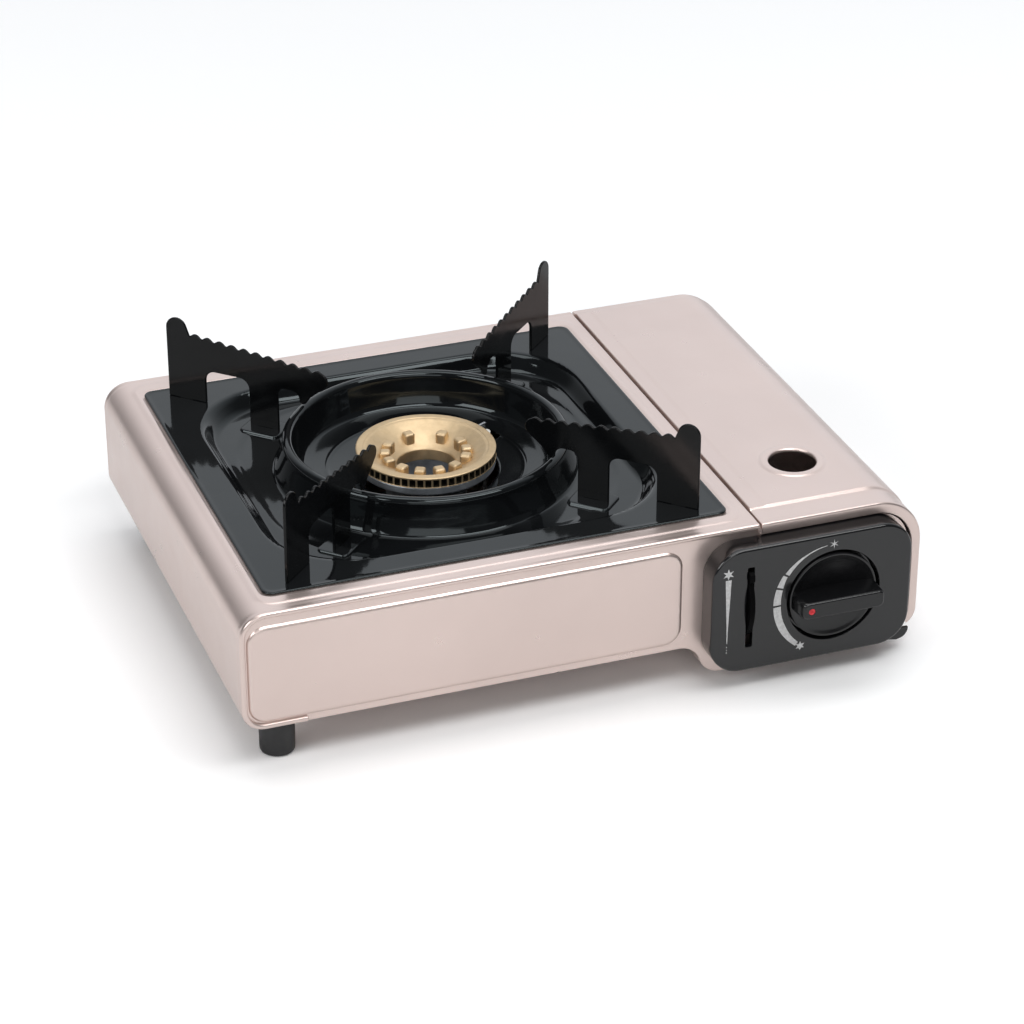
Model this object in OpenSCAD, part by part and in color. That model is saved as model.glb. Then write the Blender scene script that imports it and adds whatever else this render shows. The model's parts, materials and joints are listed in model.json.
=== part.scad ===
// Portable butane cassette stove with a hinged cartridge lid, a lift-out drip tray
// with four pan supports, a brass burner, a gas regulator with a control knob, a
// piezo igniter and a lever that locks the cartridge. All sizes are in millimetres.
// Inside the modules, X runs from the left wall, Y from the front rim to the rear and
// Z up from the table; place() then moves the origin under the middle of the stove.

/* [Case] */
// Width of the stove, from the left wall to the side of the lid
body_w = 340; // [337:1:348]
// Depth of the case, from the front rim to the rear rim
body_d = 250; // [246:1:260]
// Height of the top plate above the table
body_h = 84; // [83:0.5:88]
// Height of the burner side's underside above the table
deck_z = 23; // [21:0.5:25]
// Height of the cartridge bay's underside above the table
bay_z = 6.5; // [5.5:0.5:8]
// Sheet thickness of the case, the lid and the panels
sheet_t = 1; // [0.8:0.1:1.2]
// Radius of the case's upper left edge
top_edge_r = 13; // [10:0.5:16]
// Radius of the case's lower left edge
low_edge_r = 11; // [8:0.5:13]
// Width of the rolled rims around the front and the rear
rim_w = 2.8; // [2.4:0.1:3]
// Depth of the rolled rims
rim_t = 1.3; // [1.2:0.1:1.6]
// Width of the flange that the case turns in under the deck
return_w = 17; // [15:0.5:19]
// Distance from the lid's side to the start of the step down to the bay
step_side = 124.5; // [122:0.5:128]
// Radius of both bends of the step down to the bay
step_r = 11.5; // [10.5:0.5:12.5]
// Distance from the lid's side to the raised field on the front and rear panels
field_side = 123.6; // [122:0.1:136]
// Distance from the case's edges to the raised field
field_inset = 3.4; // [3.2:0.1:4]
// Distance from the top plate down to the raised field
field_drop = 7; // [6:0.5:9]
// Corner radius of the raised field
field_r = 8; // [6:0.5:10]

/* [Cartridge bay] */
// Width of the lid
lid_w = 84; // [83:0.5:86]
// Gap of the seam between the top plate and the lid
seam_gap = 1; // [0.6:0.1:1.2]
// Height of the lid's main surface above the top plate
lid_rise = 1; // [0.6:0.1:1.2]
// Depth of the lower strip along the lid's front edge
lid_strip = 14; // [12:1:18]
// Outer radius of the lid's shoulder
lid_edge_r = 24; // [20:1:27]
// Outer radius of the curl at the lid's lower edge
lid_curl_r = 10; // [9:0.5:11]
// Height of the centre of the lid's curl above the table
lid_curl_z = 22; // [21:0.5:23]
// Angle through which the lid's lower edge curls in
lid_curl_ang = 50; // [46:1:54]
// Width of the rim at the lid's front and rear ends
lid_rim_w = 4.5; // [4:0.1:5]
// Height of the rim at the lid's front and rear ends, below the top
lid_rim_h = 5.6; // [5:0.1:5.8]
// Gap between the lid's rims and the panels behind them
lid_gap = 6.5; // [6:0.1:7]
// Radius of the finger hole in the lid
lid_hole_r = 11.3; // [9:0.1:13]
// Distance of the finger hole from the front rim
lid_hole_y = 51.5; // [45:0.5:60]
// Radius of the lid's hinge rod
hinge_rod_r = 1.5; // [1.3:0.1:1.8]
// Length of each hinge knuckle on the lid
knuckle_len = 22; // [16:1:30]
// Outer radius of the hinge knuckles
knuckle_r = 3; // [2.8:0.1:3.2]
// Radius of the butane cartridge that the bay takes
cartridge_r = 33.5; // [33:0.1:34]
// Height of the cartridge's axis above the bay floor
cartridge_z = 37.5; // [36:0.5:39]
// Distance of the cartridge's axis from the lid's side
cartridge_x = 45.5; // [45:0.5:46]
// Distance from the front rim to the plate that carries the regulator
bracket_y = 54; // [53:0.5:56]
// Radius of the cartridge's collar with clearance
collar_r = 18; // [17:0.5:19]

/* [Drip tray] */
// Distance from the top plate's right edge to the drip tray
tray_side = 9.5; // [8:0.5:12]
// Distance from the rear rim to the drip tray
tray_rear = 17; // [15:0.5:20]
// Distance from the left wall to the tray
tray_x = 16.5; // [15:0.5:17.5]
// Distance from the front rim to the tray
tray_y = 15; // [14:0.5:16]
// Sheet thickness of the tray
tray_t = 1; // [0.8:0.1:1.2]
// Width of the tray's flange that lies on the top plate at left and right
flange_w = 15.5; // [14:0.5:17]
// Depth of the basin's floor below the tray's flange
basin_drop = 8; // [7:0.5:9]
// Corner radius of the basin at the flange
basin_r = 47; // [44:1:50]
// Inward slope of the basin's sides
basin_slope = 7; // [6:0.5:8]
// Corner radius of the basin at its floor
floor_r = 69; // [67:1:71]
// Corner radius of the tray
tray_r = 5; // [3:0.5:8]
// Radius of the crest of the wind ring
ring_r = 67.4; // [66:0.2:69]
// Height of the wind ring above the tray's flange
ring_h = 9.6; // [8:0.2:11]
// Radius of the hole for the burner
tray_hole_r = 37.5; // [36.5:0.5:38.5]

/* [Pan supports] */
// Thickness of the pan support blades
blade_t = 1.5; // [1.2:0.1:2]
// Distance from the tray's edge to the outer edge of a blade, along the blade
blade_inset = 10.15; // [8:0.05:12]
// Distance from the burner's axis to the inner tip of a blade
blade_in = 55; // [53:0.5:57]
// Height of the outermost valley of the serrated edge above the tray's flange
blade_h = 35; // [33:0.5:38]
// Height that the horn stands above the outermost valley
horn_h = 9; // [7:0.5:11]
// Radius of the horn's tip
horn_r = 5.8; // [5:0.1:6.5]
// Pitch of the scallops on the serrated edge
scallop_pitch = 6.87; // [6.6:0.01:7.1]
// Height of a scallop
scallop_h = 2.4; // [2:0.1:2.8]
// Number of scallops on each blade
scallops = 9; // [8:1:9]
// Fall of the serrated edge towards the burner, per millimetre
edge_fall = 0.105; // [0.08:0.005:0.12]
// Width of a blade's outer leg
outer_leg = 21.5; // [18:0.5:22]
// Width of a blade's inner leg
inner_leg = 16.2; // [12:0.1:17]
// Corner radius of the windows between a blade's legs
window_r = 5.5; // [3:0.5:6]

/* [Burner] */
// Radius of the brass burner cap
cap_r = 34.5; // [33:0.5:35]
// Height of the cap's rim above the tray's flange
cap_h = 2.3; // [1.5:0.1:4]
// Width of the flat rim of the cap
cap_rim = 4.5; // [4:0.1:5]
// Radius of the cap's centre hole
cap_hole_r = 14.5; // [13:0.5:15]
// Depth of the cap's dish
dish_drop = 9; // [8:0.5:10]
// Number of flame slots around the cap
flame_slots = 60; // [48:1:64]
// Width of a flame slot
slot_w = 1.5; // [1.2:0.1:1.7]
// Height of a flame slot
slot_h = 5; // [4:0.1:5.5]
// Number of studs on the cap's dish
studs = 10; // [6:1:12]
// Radius of the burner head's cup
cup_r = 20; // [18:0.5:21]
// Outer radius of the mixing tube
tube_r = 9; // [8:0.5:9.5]
// Wall of the mixing tube
tube_wall = 1.2; // [1:0.1:1.5]
// Height of the mixing tube's axis above the table
tube_z = 46; // [45:0.5:47]

/* [Controls] */
// Distance that the control panel stands out from the front rim
panel_out = 10.5; // [9.5:0.5:12]
// Distance from the lid's side to the control panel
panel_side = 9.5; // [8:0.5:11]
// Width of the control panel
panel_w = 103.5; // [101:0.5:104]
// Height of the control panel
panel_h = 66.3; // [64:0.1:66.5]
// Height of the control panel's lower edge above the bay's underside
panel_z = 5; // [4.5:0.5:5.5]
// Corner radius of the control panel
panel_r = 16; // [14:0.5:17]
// Wall of the control panel
panel_wall = 2.5; // [2:0.1:3]
// Distance from the panel's right edge to the knob's axis
knob_x = 40.7; // [40:0.1:42]
// Radius of the knob's disc
knob_r = 22.7; // [21:0.1:23]
// Gap around the knob in its well
knob_gap = 1.3; // [1:0.1:1.6]
// Thickness of the knob's disc
knob_t = 5; // [4:0.1:5.5]
// Length of the knob's grip bar
grip_len = 42; // [38:0.5:43]
// Width of the knob's grip bar
grip_w = 8.8; // [8:0.1:10]
// Height of the knob's grip bar above the disc
grip_h = 11.5; // [10:0.1:13]
// Radius of the valve spindle
spindle_r = 4; // [3.5:0.1:4.5]
// Largest radius of the igniter cam
cam_r = 15; // [14.5:0.1:15.5]
// Fall of the igniter cam for each degree that the knob turns
cam_rate = 0.04; // [0.035:0.001:0.045]
// Distance from the panel's left edge to the middle of the lever's slot
slot_x = 19.4; // [19:0.1:20]
// Width of the lever's slot
lever_slot_w = 3.6; // [3.5:0.1:4]
// Length of the lever's slot
lever_slot_h = 43.4; // [42:0.2:45]
// Thickness of the lock lever
lever_t = 2.8; // [2.5:0.1:3]
// Radius of the lock lever's rim
lever_r = 27.5; // [26.5:0.1:28]
// Distance of the lever's pivot from the front rim
pivot_y = 13.5; // [13:0.1:14]
// Radius of the lever's pivot pin
pivot_r = 2; // [1.8:0.1:2.2]
// Angle through which the lever turns
lever_turn = 66; // [60:1:68]
// Distance of the lever's drive pin from the pivot
drive_arm = 6; // [5.8:0.1:6.2]

/* [Feet] */
// Radius of the rubber feet
foot_r = 8.5; // [7:0.5:10]
// Distance of the feet from the case's sides
foot_x = 21; // [20:0.5:24]
// Distance of the feet from the front and rear rims
foot_y = 18.7; // [17:0.1:22]

/* [Fits] */
// Clearance between faces that only pass each other
pass_gap = 0.3; // [0.2:0.05:0.4]
// Radial clearance of pins and shafts that turn or slide
run_gap = 0.05; // [0.03:0.01:0.08]

/* [Hidden] */

$fn = 48;
case_paint = [0.80, 0.69, 0.66];
enamel_black = [0.05, 0.05, 0.06];
plastic_black = [0.09, 0.09, 0.10];
bare_steel = [0.68, 0.69, 0.71];
cast_grey = [0.55, 0.57, 0.60];
brass_yellow = [0.83, 0.65, 0.33];
rubber_black = [0.07, 0.07, 0.07];

// Overall layout
front_reach = panel_out + grip_h;
panel_x = body_w - panel_side - panel_w;
step_x = body_w - step_side;
field_w = body_w - field_side - field_inset;
lid_x = body_w - lid_w;
case_end = lid_x - seam_gap;
bay_right = body_w - lid_gap;
bay_top = body_h - lid_gap;
bay_corner_r = 3;
step_fall = deck_z - bay_z;
step_ang = acos(1 - step_fall / (2 * step_r));
step_run = 2 * step_r * sin(step_ang);
inside_front = rim_t + sheet_t;
inside_rear = body_d - inside_front;
deck_top = deck_z + 2 * sheet_t;
bay_floor = bay_z + sheet_t;
base_edge_r = 2.5;
base_right = bay_right + sheet_t;
edge_steps = 8;

// Seam between the top plate and the lid
ledge_drop = 3.5;
ledge_w = 6;
lid_lip = 3;
lid_clear = 3;
main_top = body_h + lid_rise;

// Partition between the burner and the cartridge
partition_x = case_end - 3;
partition_end = partition_x + sheet_t;

// Burner and tray
tray_w = case_end - tray_side - tray_x;
tray_d = body_d - tray_rear - tray_y;
blade_out = min(tray_w, tray_d) / 2 * sqrt(2) - blade_inset;
burner_x = tray_x + tray_w / 2;
burner_y = tray_y + tray_d / 2;
flange_top = body_h + tray_t;
basin_hx = tray_w / 2 - flange_w;
basin_hy = tray_d / 2 - flange_w;
basin_floor = flange_top - basin_drop;
tray_lap = 5;
crest_z = flange_top + ring_h;
cap_top = flange_top + cap_h;
slot_top = cap_top - 2;
slot_bottom = slot_top - slot_h;
cap_wall = 2;
well_drop = 18;
well_wall = 1.5;
cup_floor = tube_z - tube_r - 3;
cup_wall = 1.8;
heat_z = cup_floor;
cup_top = cap_top - well_drop + 1;

// Cartridge, regulator and valve
can_x = body_w - cartridge_x;
can_z = bay_floor + cartridge_z;
valve_x = panel_x + panel_w - knob_x;
valve_z = bay_z + panel_z + panel_h / 2;
face_y = -panel_out;
knob_back = face_y + knob_t;
well_floor = knob_back + 1;
well_back = well_floor + 2;
hub_r = 7;
hub_back = knob_back + 6;
block_w = 36;
block_h = 34;
block_front = 26;
block_x = valve_x - 13;
block_z = valve_z - block_h / 2;
block_top = block_z + block_h;
boss_r = 9;
boss_end = bracket_y + 4.5;
stem_r = 2.1;
stem_len = 8;
seal_t = 1.5;
spindle_end = 38;
chamber_r = 14;
chamber_x = block_x + block_w / 2;
chamber_y = bracket_y - chamber_r - 1;
chamber_h = 4.5;
cavity_r = 9.5;
diaphragm_z = block_top + chamber_h;
cover_h = 7;
cover_top = diaphragm_z + 1 + cover_h;
cover_pcd_r = 11.8;
small_screw_r = 1.1;
screw_r = 1.5;

// Jet and mixing tube, which point from the regulator to the burner's axis
jet_root = [block_x + 2, block_front + 8];
tube_ang = atan2(jet_root[1] - burner_y, jet_root[0] - burner_x);
jet_reach = norm([jet_root[0] - burner_x, jet_root[1] - burner_y]);
socket_face = jet_reach - 8;
jet_len = 9;
jet_r = 3;
tube_end = socket_face - jet_len + 3;

// Lever and carriage
lever_x = panel_x + slot_x;
lever_z = valve_z + 1.6;
lean = lever_turn / 2;
drive_r = 1.8;
drive_gap = 0.4;
carriage_travel = 2 * drive_arm * sin(lean);
drive_y = pivot_y + drive_arm * sin(lean);
drive_z = lever_z + drive_arm * cos(lean);
bar_x = partition_end + 1.3;
bar_t = 1.5;
bar_front = inside_front + carriage_travel + 2;
bar_low = lever_z - 2;
bar_rail = lever_z + 14;
bar_high = bar_rail + 9;
fork_y = bracket_y + sheet_t + carriage_travel + 1.5;
fork_top = bay_top - 5.5;
spring_x = bar_x + 6;

// Igniter
igniter_y = 9;
cam_lead = 50;
knob_turn = 140;
cam_slack = 10;
rest_cam_r = cam_r - cam_rate * cam_lead;
cam_t = 6;
plunger_r = 3;
tip_gap = pass_gap + 0.2;
plunger_tip = valve_x - rest_cam_r - tip_gap;
igniter_x = bar_x + bar_t + 1.7;
igniter_end = valve_x - cam_r - 3;
igniter_h = 13;
electrode_ang = 28;
electrode_at = 42.5;
electrode_x = burner_x + electrode_at * cos(electrode_ang);
electrode_y = burner_y + electrode_at * sin(electrode_ang);
ceramic_r = 3;
ceramic_top = slot_bottom - 1.5;
arm_z = slot_bottom - 14.3;
ceramic_low = arm_z - 10;

// Hinge axis of the lid
curl_x = body_w - lid_curl_r;
hinge_x = curl_x + 3.2;
hinge_z = lid_curl_z - 7;
lug_r = 2.6;

// Feet and heat plate
foot_neck_r = 3;
right_foot_x = body_w - foot_x - 1;
heat_y = burner_y - 22;
plate_low = can_z - cartridge_r - 0.9;
heat_w = 18;

// Fasteners, brackets and marker
base_screw_x = 21;
base_screw_y = [body_d / 2 - 55, body_d / 2, body_d / 2 + 55];
panel_screw_at = [[panel_x + 8.5, valve_z + 25.5], [panel_x + 8.5, valve_z - 24.5],
    [panel_x + panel_w - 10, valve_z - 24], [panel_x + panel_w - 10, valve_z + 24]];
bridge_foot = 66;
mount_x = 13;
bracket_left = partition_end + 14;
bracket_right = bay_right - 3.5;
marker_s = 16.5;
marker_r = 1.6;

// Tabs, legs and serrated edge of the pan supports
tab_w = 8;
tab_h = 3;
inner_leg_s = ring_r + 14.1;
notch_s = blade_out - 13;
tip_s = notch_s - scallops * scallop_pitch;
tip_c = [blade_out - horn_r, flange_top + blade_h + horn_h - horn_r];
window_top = crest_z + 8.4;
notch_top = crest_z + 7;
notch_start = ring_r + 1.9;
rest_len = 23.2;
rest_y = inside_rear - 24.5 - rest_len;
rest_w = 38;

// Route of the ignition wire
wire_r = 1.2;
wire_hole_y = bracket_y - 8;
wire_z = deck_z + 7;
wire_at = [[igniter_x + 5, igniter_y + igniter_h / 2, valve_z - 2],
    [igniter_x + 5, igniter_y + igniter_h / 2 + 4, valve_z - 2], [igniter_x + 5, 26, 33],
    [igniter_x + 2, wire_hole_y - 4, wire_z], [partition_x - 2, wire_hole_y, wire_z],
    [partition_x - 27, wire_hole_y + 14, wire_z], [partition_x - 56, burner_y - 20, wire_z - 1.5],
    [178, 132, 28.5], [electrode_x, electrode_y, 40], [electrode_x, electrode_y, ceramic_low]];

// ---- helpers ----

// Points along an arc in a plane
function arc(cx, cz, r, a0, a1, first = 0, n = edge_steps) =
    [for (i = [first : n]) let (a = a0 + (a1 - a0) * i / n) [cx + r * cos(a), cz + r * sin(a)]];

// Corner points of a rectangle with rounded corners, centred on the origin
function round_box(hx, hy, r) = concat(
    arc(hx - r, hy - r, r, 0, 90), arc(r - hx, hy - r, r, 90, 180),
    arc(r - hx, r - hy, r, 180, 270), arc(hx - r, r - hy, r, 270, 360));

// Unit normal of one run of a path, and the mitred shift at each of its points
function run_normal(p, i) = let (d = p[i + 1] - p[i]) [-d[1], d[0]] / norm(d);
function mitre(p, i) =
    i == 0 ? run_normal(p, 0) :
    i == len(p) - 1 ? run_normal(p, i - 1) :
    let (a = run_normal(p, i - 1), b = run_normal(p, i)) (a + b) / (1 + a * b);

// Outline of a sheet of thickness t that lies to the right of its path
function sheet_strip(p, t) = concat(p,
    [for (i = [len(p) - 1 : -1 : 0]) p[i] - t * mitre(p, i)]);

// Move from the modelling frame to the part's own frame
module place() translate([-body_w / 2, (front_reach - body_d) / 2, 0]) children();

// Extrude an X-Z outline along Y, or a Y-Z outline along X
module along_y(y0, y1) translate([0, y1, 0]) rotate([90, 0, 0])
    linear_extrude(y1 - y0) children();
module along_x(x0, x1) translate([x0, 0, 0]) rotate([90, 0, 90])
    linear_extrude(x1 - x0) children();

// Round bars along Y, along X and along Z
module bar_along_y(x, z, r, y0, y1) translate([x, y0, z]) rotate([-90, 0, 0])
    cylinder(h = y1 - y0, r = r);
module bar_along_x(y, z, r, x0, x1) translate([x0, y, z]) rotate([0, 90, 0])
    cylinder(h = x1 - x0, r = r);
module bar_up(x, y, r, z0, z1) translate([x, y, z0]) cylinder(h = z1 - z0, r = r);

// A block between two corners
module block(low, high) translate(low) cube(high - low);

// A round wire along a list of points
function heading(p, i) =
    let (d = p[min(i + 1, len(p) - 1)] - p[max(i - 1, 0)]) d / norm(d);
module wire(p, r, sides, up = [0, 0, 1]) {
    rings = [for (i = [0 : len(p) - 1])
        let (t = heading(p, i), c = cross(t, up), u = c / norm(c), v = cross(u, t))
        for (k = [0 : sides - 1])
            p[i] + r * (cos(360 * k / sides) * u + sin(360 * k / sides) * v)];
    last = (len(p) - 1) * sides;
    sheath = [for (i = [0 : len(p) - 2]) for (k = [0 : sides - 1])
        let (a = i * sides + k, b = i * sides + (k + 1) % sides)
        each [[a, b, b + sides], [a, b + sides, a + sides]]];
    ends = [[for (k = [sides - 1 : -1 : 0]) k], [for (k = [0 : sides - 1]) last + k]];
    polyhedron(points = rings, faces = concat(sheath, ends), convexity = 8);
}

// A coil spring that stands along Z on the origin
module coil(coil_r, wire_r, length, turns) {
    steps = turns * 12;
    wire([for (i = [0 : steps]) let (a = 360 * turns * i / steps)
        [coil_r * cos(a), coil_r * sin(a), wire_r + (length - 2 * wire_r) * i / steps]],
        wire_r, 6);
}

// A pan head screw that points along +Z from its seat at z = 0
module pan_screw(shank_r, shank_len, head_r, head_h) {
    cylinder(h = shank_len, r = shank_r);
    difference() {
        translate([0, 0, -head_h]) cylinder(h = head_h, r = head_r);
        for (a = [0, 90]) rotate([0, 0, a])
            translate([-head_r * 0.6, -0.4, -head_h - 1]) cube([head_r * 1.2, 0.8, 1.8]);
    }
}

// ---- case ----

// Path of the case shell's outer face, seen from the front
shell_path = concat(
    [[low_edge_r + return_w, deck_z + sheet_t], [low_edge_r + 1.5, deck_z + sheet_t]],
    arc(low_edge_r, deck_z + low_edge_r, low_edge_r, 270, 180),
    arc(top_edge_r, body_h - top_edge_r, top_edge_r, 180, 90));
shell_rim_path = concat(
    arc(low_edge_r, deck_z + low_edge_r, low_edge_r, 270, 180),
    arc(top_edge_r, body_h - top_edge_r, top_edge_r, 180, 90),
    [[case_end, body_h]]);

// Path of the base plate's outer face, from the bay to the left wall
base_path = concat(
    arc(base_right - base_edge_r, bay_z + base_edge_r, base_edge_r, 0, -90),
    arc(step_x + step_run, bay_z + step_r, step_r, 270, 270 - step_ang),
    arc(step_x, deck_z - step_r, step_r, 90 - step_ang, 90, 1),
    [[low_edge_r + 2, deck_z]]);

// Closed outline of the front and rear panels, a distance w inside the case
function panel_points(w) = concat(
    arc(low_edge_r, deck_z + low_edge_r, low_edge_r - w, 180, 270),
    arc(step_x, deck_z - step_r, step_r + w, 90, 90 - step_ang),
    arc(step_x + step_run, bay_z + step_r, step_r - w, 270 - step_ang, 270, 1),
    arc(bay_right - bay_corner_r, bay_z + w + bay_corner_r, bay_corner_r, 270, 360),
    arc(bay_right - lid_edge_r + lid_gap, bay_top - lid_edge_r + lid_gap,
        lid_edge_r - lid_gap, 0, 90),
    [[case_end - w, bay_top], [case_end - w, body_h - w]],
    arc(top_edge_r, body_h - top_edge_r, top_edge_r - w, 90, 180));

// Raised field of the front and rear panels
module field(inset) {
    low = [field_inset + inset, deck_z + field_inset + inset];
    high = [field_inset + field_w - inset, body_h - field_drop - inset];
    translate((low + high) / 2)
        polygon(round_box((high[0] - low[0]) / 2, (high[1] - low[1]) / 2, field_r - inset));
}

// A pressed panel in its own plane, with its raised field towards z = rim_t + sheet_t
module pressed_panel() {
    difference() {
        linear_extrude(sheet_t) polygon(panel_points(sheet_t));
        translate([0, 0, -1]) linear_extrude(sheet_t + 2) field(sheet_t);
    }
    linear_extrude(rim_t + sheet_t - 0.1) difference() {
        field(0);
        field(sheet_t);
    }
    translate([0, 0, rim_t - 0.1]) linear_extrude(sheet_t) field(0);
    translate([hinge_x, hinge_z, 0]) {
        cylinder(h = sheet_t, r = lug_r);
        translate([-lug_r, -lug_r, 0]) cube([lug_r, 2 * lug_r, sheet_t]);
    }
}

module case_shell() color(case_paint) place() difference() {
    union() {
        along_y(0, body_d) polygon(sheet_strip(concat(shell_path,
            [[case_end, body_h], [case_end, body_h - ledge_drop - sheet_t]]), sheet_t));
        along_y(lid_clear, body_d - lid_clear) translate([case_end - sheet_t,
            body_h - ledge_drop - sheet_t]) square([ledge_w + sheet_t, sheet_t]);
        for (y = [0, body_d - rim_t])
            along_y(y, y + rim_t) polygon(sheet_strip(shell_rim_path, rim_w));
    }
    block([tray_x + tray_lap, tray_y + tray_lap, body_h - 1.5 * sheet_t],
        [tray_x + tray_w - tray_lap, tray_y + tray_d - tray_lap, body_h + 5]);
    for (y = [foot_y, body_d - foot_y]) bar_up(foot_x, y, foot_neck_r, deck_z, deck_top);
    for (y = base_screw_y) bar_up(base_screw_x, y, screw_r, deck_z, deck_top);
    for (y = [-1, inside_rear]) block([low_edge_r, y, deck_z + sheet_t],
        [low_edge_r + return_w + 1, y + inside_front + 1, deck_top + 1]);
}

module base_plate() color(case_paint) place() difference() {
    union() {
        along_y(0, body_d) polygon(sheet_strip(base_path, sheet_t));
        for (y = [0, body_d - rim_t]) along_y(y, y + rim_t) intersection() {
            polygon(sheet_strip(base_path, rim_w));
            translate([low_edge_r + 2, 0]) square([bay_right - low_edge_r - 8, deck_top + 3]);
        }
    }
    for (y = [foot_y, body_d - foot_y]) {
        bar_up(foot_x, y, foot_neck_r, deck_z - 1, deck_top);
        bar_up(right_foot_x, y, foot_neck_r, bay_z - 1, bay_floor + 1);
    }
    for (y = base_screw_y) bar_up(base_screw_x, y, screw_r, deck_z - 1, deck_top);
    for (a = [15 : 30 : 345]) translate([burner_x, burner_y, deck_z - 1])
        rotate([0, 0, a]) translate([34, -3, 0]) cube([24, 6, 3]);
    for (s = [-1, 1]) bar_up(burner_x, burner_y + s * bridge_foot, screw_r,
        deck_z - 1, deck_top);
    for (y = [80 : 24 : inside_rear - 20]) block([can_x - 26.5, y, bay_z - 1],
        [can_x + 17.5, y + 5, bay_floor + 1]);
}

// Front panel with its raised field in front of the sheet
module front_panel() color(case_paint) place() difference() {
    translate([0, inside_front, 0]) rotate([90, 0, 0]) pressed_panel();
    bar_along_y(hinge_x, hinge_z, hinge_rod_r, 0, 5);
    bar_along_y(valve_x, valve_z, hub_r + 2, -1, 5);
    block([lever_x - 3, -1, lever_z - 30], [lever_x + 3, 5, lever_z + 30]);
    for (p = panel_screw_at) bar_along_y(p[0], p[1], screw_r, -1, 5);
}

module rear_panel() color(case_paint) place() difference() {
    translate([0, inside_rear, 0]) rotate([90, 0, 0]) mirror([0, 0, 1]) pressed_panel();
    bar_along_y(hinge_x, hinge_z, hinge_rod_r, body_d - 5, body_d + 1);
    for (i = [0 : 5], j = [0, 1])
        bar_along_y(can_x + 9 * (i - 2.5), can_z - 11 + 16 * j, 2, body_d - 5, body_d + 1);
}

module bay_partition() color(bare_steel) place() difference() {
    union() {
        block([partition_x, inside_front, bay_floor],
            [partition_end, inside_rear, body_h - sheet_t]);
        block([partition_x - 8, inside_front, bay_floor],
            [partition_end, inside_rear, bay_floor + sheet_t]);
        block([partition_x - 8, inside_front, body_h - 2 * sheet_t],
            [partition_end, inside_rear, body_h - sheet_t]);
    }
    tube_cut(tube_r + 0.3);
    bar_along_x(pivot_y, lever_z, drive_arm + drive_r + 2, partition_x - 5, partition_end + 5);
    block([partition_x - 1, heat_y, heat_z - sheet_t],
        [partition_end + 1, heat_y + heat_w, heat_z]);
    bar_along_x(wire_hole_y, wire_z, 2.5, partition_x - 5, partition_end + 5);
    for (y = [80 : 12 : inside_rear - 10])
        bar_along_x(y, body_h - 22, 3, partition_x - 5, partition_end + 5);
}

module tube_cut(r) translate([burner_x, burner_y, tube_z]) rotate([0, 0, tube_ang])
    rotate([0, 90, 0]) cylinder(h = tube_end + 20, r = r);

// Upright plate that carries the regulator in front of the cartridge
module regulator_bracket() color(bare_steel) place() difference() {
    union() {
        along_y(bracket_y, bracket_y + sheet_t) polygon([[partition_end, bay_floor],
            [bracket_right, bay_floor], [bracket_right, bay_top - lid_edge_r + 6.5],
            [bracket_right - 12, bay_top - 1.5], [bracket_left, bay_top - 1.5],
            [bracket_left, 34], [partition_end, 34]]);
        block([partition_end, bracket_y - 7, bay_floor],
            [partition_end + sheet_t, bracket_y + sheet_t, 34]);
        block([bracket_left, bracket_y - 7, bay_floor],
            [bracket_right, bracket_y + sheet_t, bay_floor + sheet_t]);
    }
    bar_along_y(can_x, can_z, boss_r, bracket_y - 1, bracket_y + 2);
    for (s = [-1, 1])
        bar_along_y(can_x + s * mount_x, can_z, screw_r, bracket_y - 1, bracket_y + 2);
    block([can_x - 1.5, bracket_y - 1, can_z + 14],
        [can_x + 1.5, bracket_y + 2, can_z + 14 + sheet_t]);
}

module cartridge_key() color(bare_steel) place() block(
    [can_x - 1.5, bracket_y, can_z + 14], [can_x + 1.5, bracket_y + 7, can_z + 14 + sheet_t]);

// Saddle that supports the rear of the cartridge
module cartridge_rest() color(bare_steel) place() difference() {
    union() {
        for (y = [rest_y, rest_y + rest_len - 1.2]) block([can_x - rest_w / 2, y, bay_floor],
            [can_x + rest_w / 2, y + 1.2, bay_floor + 14]);
        block([can_x - rest_w / 2, rest_y, bay_floor],
            [can_x + rest_w / 2, rest_y + rest_len, bay_floor + 1.2]);
    }
    bar_along_y(can_x, can_z, cartridge_r + 0.5, rest_y - 5, rest_y + rest_len + 5);
}

// Plate that carries heat from the burner to the underside of the cartridge
module heat_plate() color(cast_grey) place() difference() {
    along_y(heat_y, heat_y + heat_w) polygon(sheet_strip([[burner_x - 14, heat_z],
        [partition_end + 4, heat_z], [partition_end + 9, can_z - 25],
        [can_x - 16, plate_low], [can_x + 10, plate_low]], sheet_t));
    for (s = [-1, 1]) bar_up(burner_x + s * 9, burner_y - 7, screw_r, 20, 40);
}

// ---- lid ----

lid_main_path = concat([[lid_x, main_top - lid_lip - lid_rise], [lid_x, main_top]],
    arc(body_w - lid_edge_r, main_top - lid_edge_r, lid_edge_r, 90, 0),
    arc(curl_x, lid_curl_z, lid_curl_r, 0, -lid_curl_ang));
lid_strip_path = concat([[lid_x, body_h - lid_lip], [lid_x, body_h]],
    arc(body_w - lid_edge_r, body_h - lid_edge_r, lid_edge_r, 90, 0),
    arc(curl_x, lid_curl_z, lid_curl_r, 0, -lid_curl_ang));
lid_rim_path = concat([[lid_x, body_h]],
    arc(body_w - lid_edge_r, body_h - lid_edge_r, lid_edge_r, 90, 0),
    arc(curl_x, lid_curl_z, lid_curl_r, 0, -lid_curl_ang));

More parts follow.
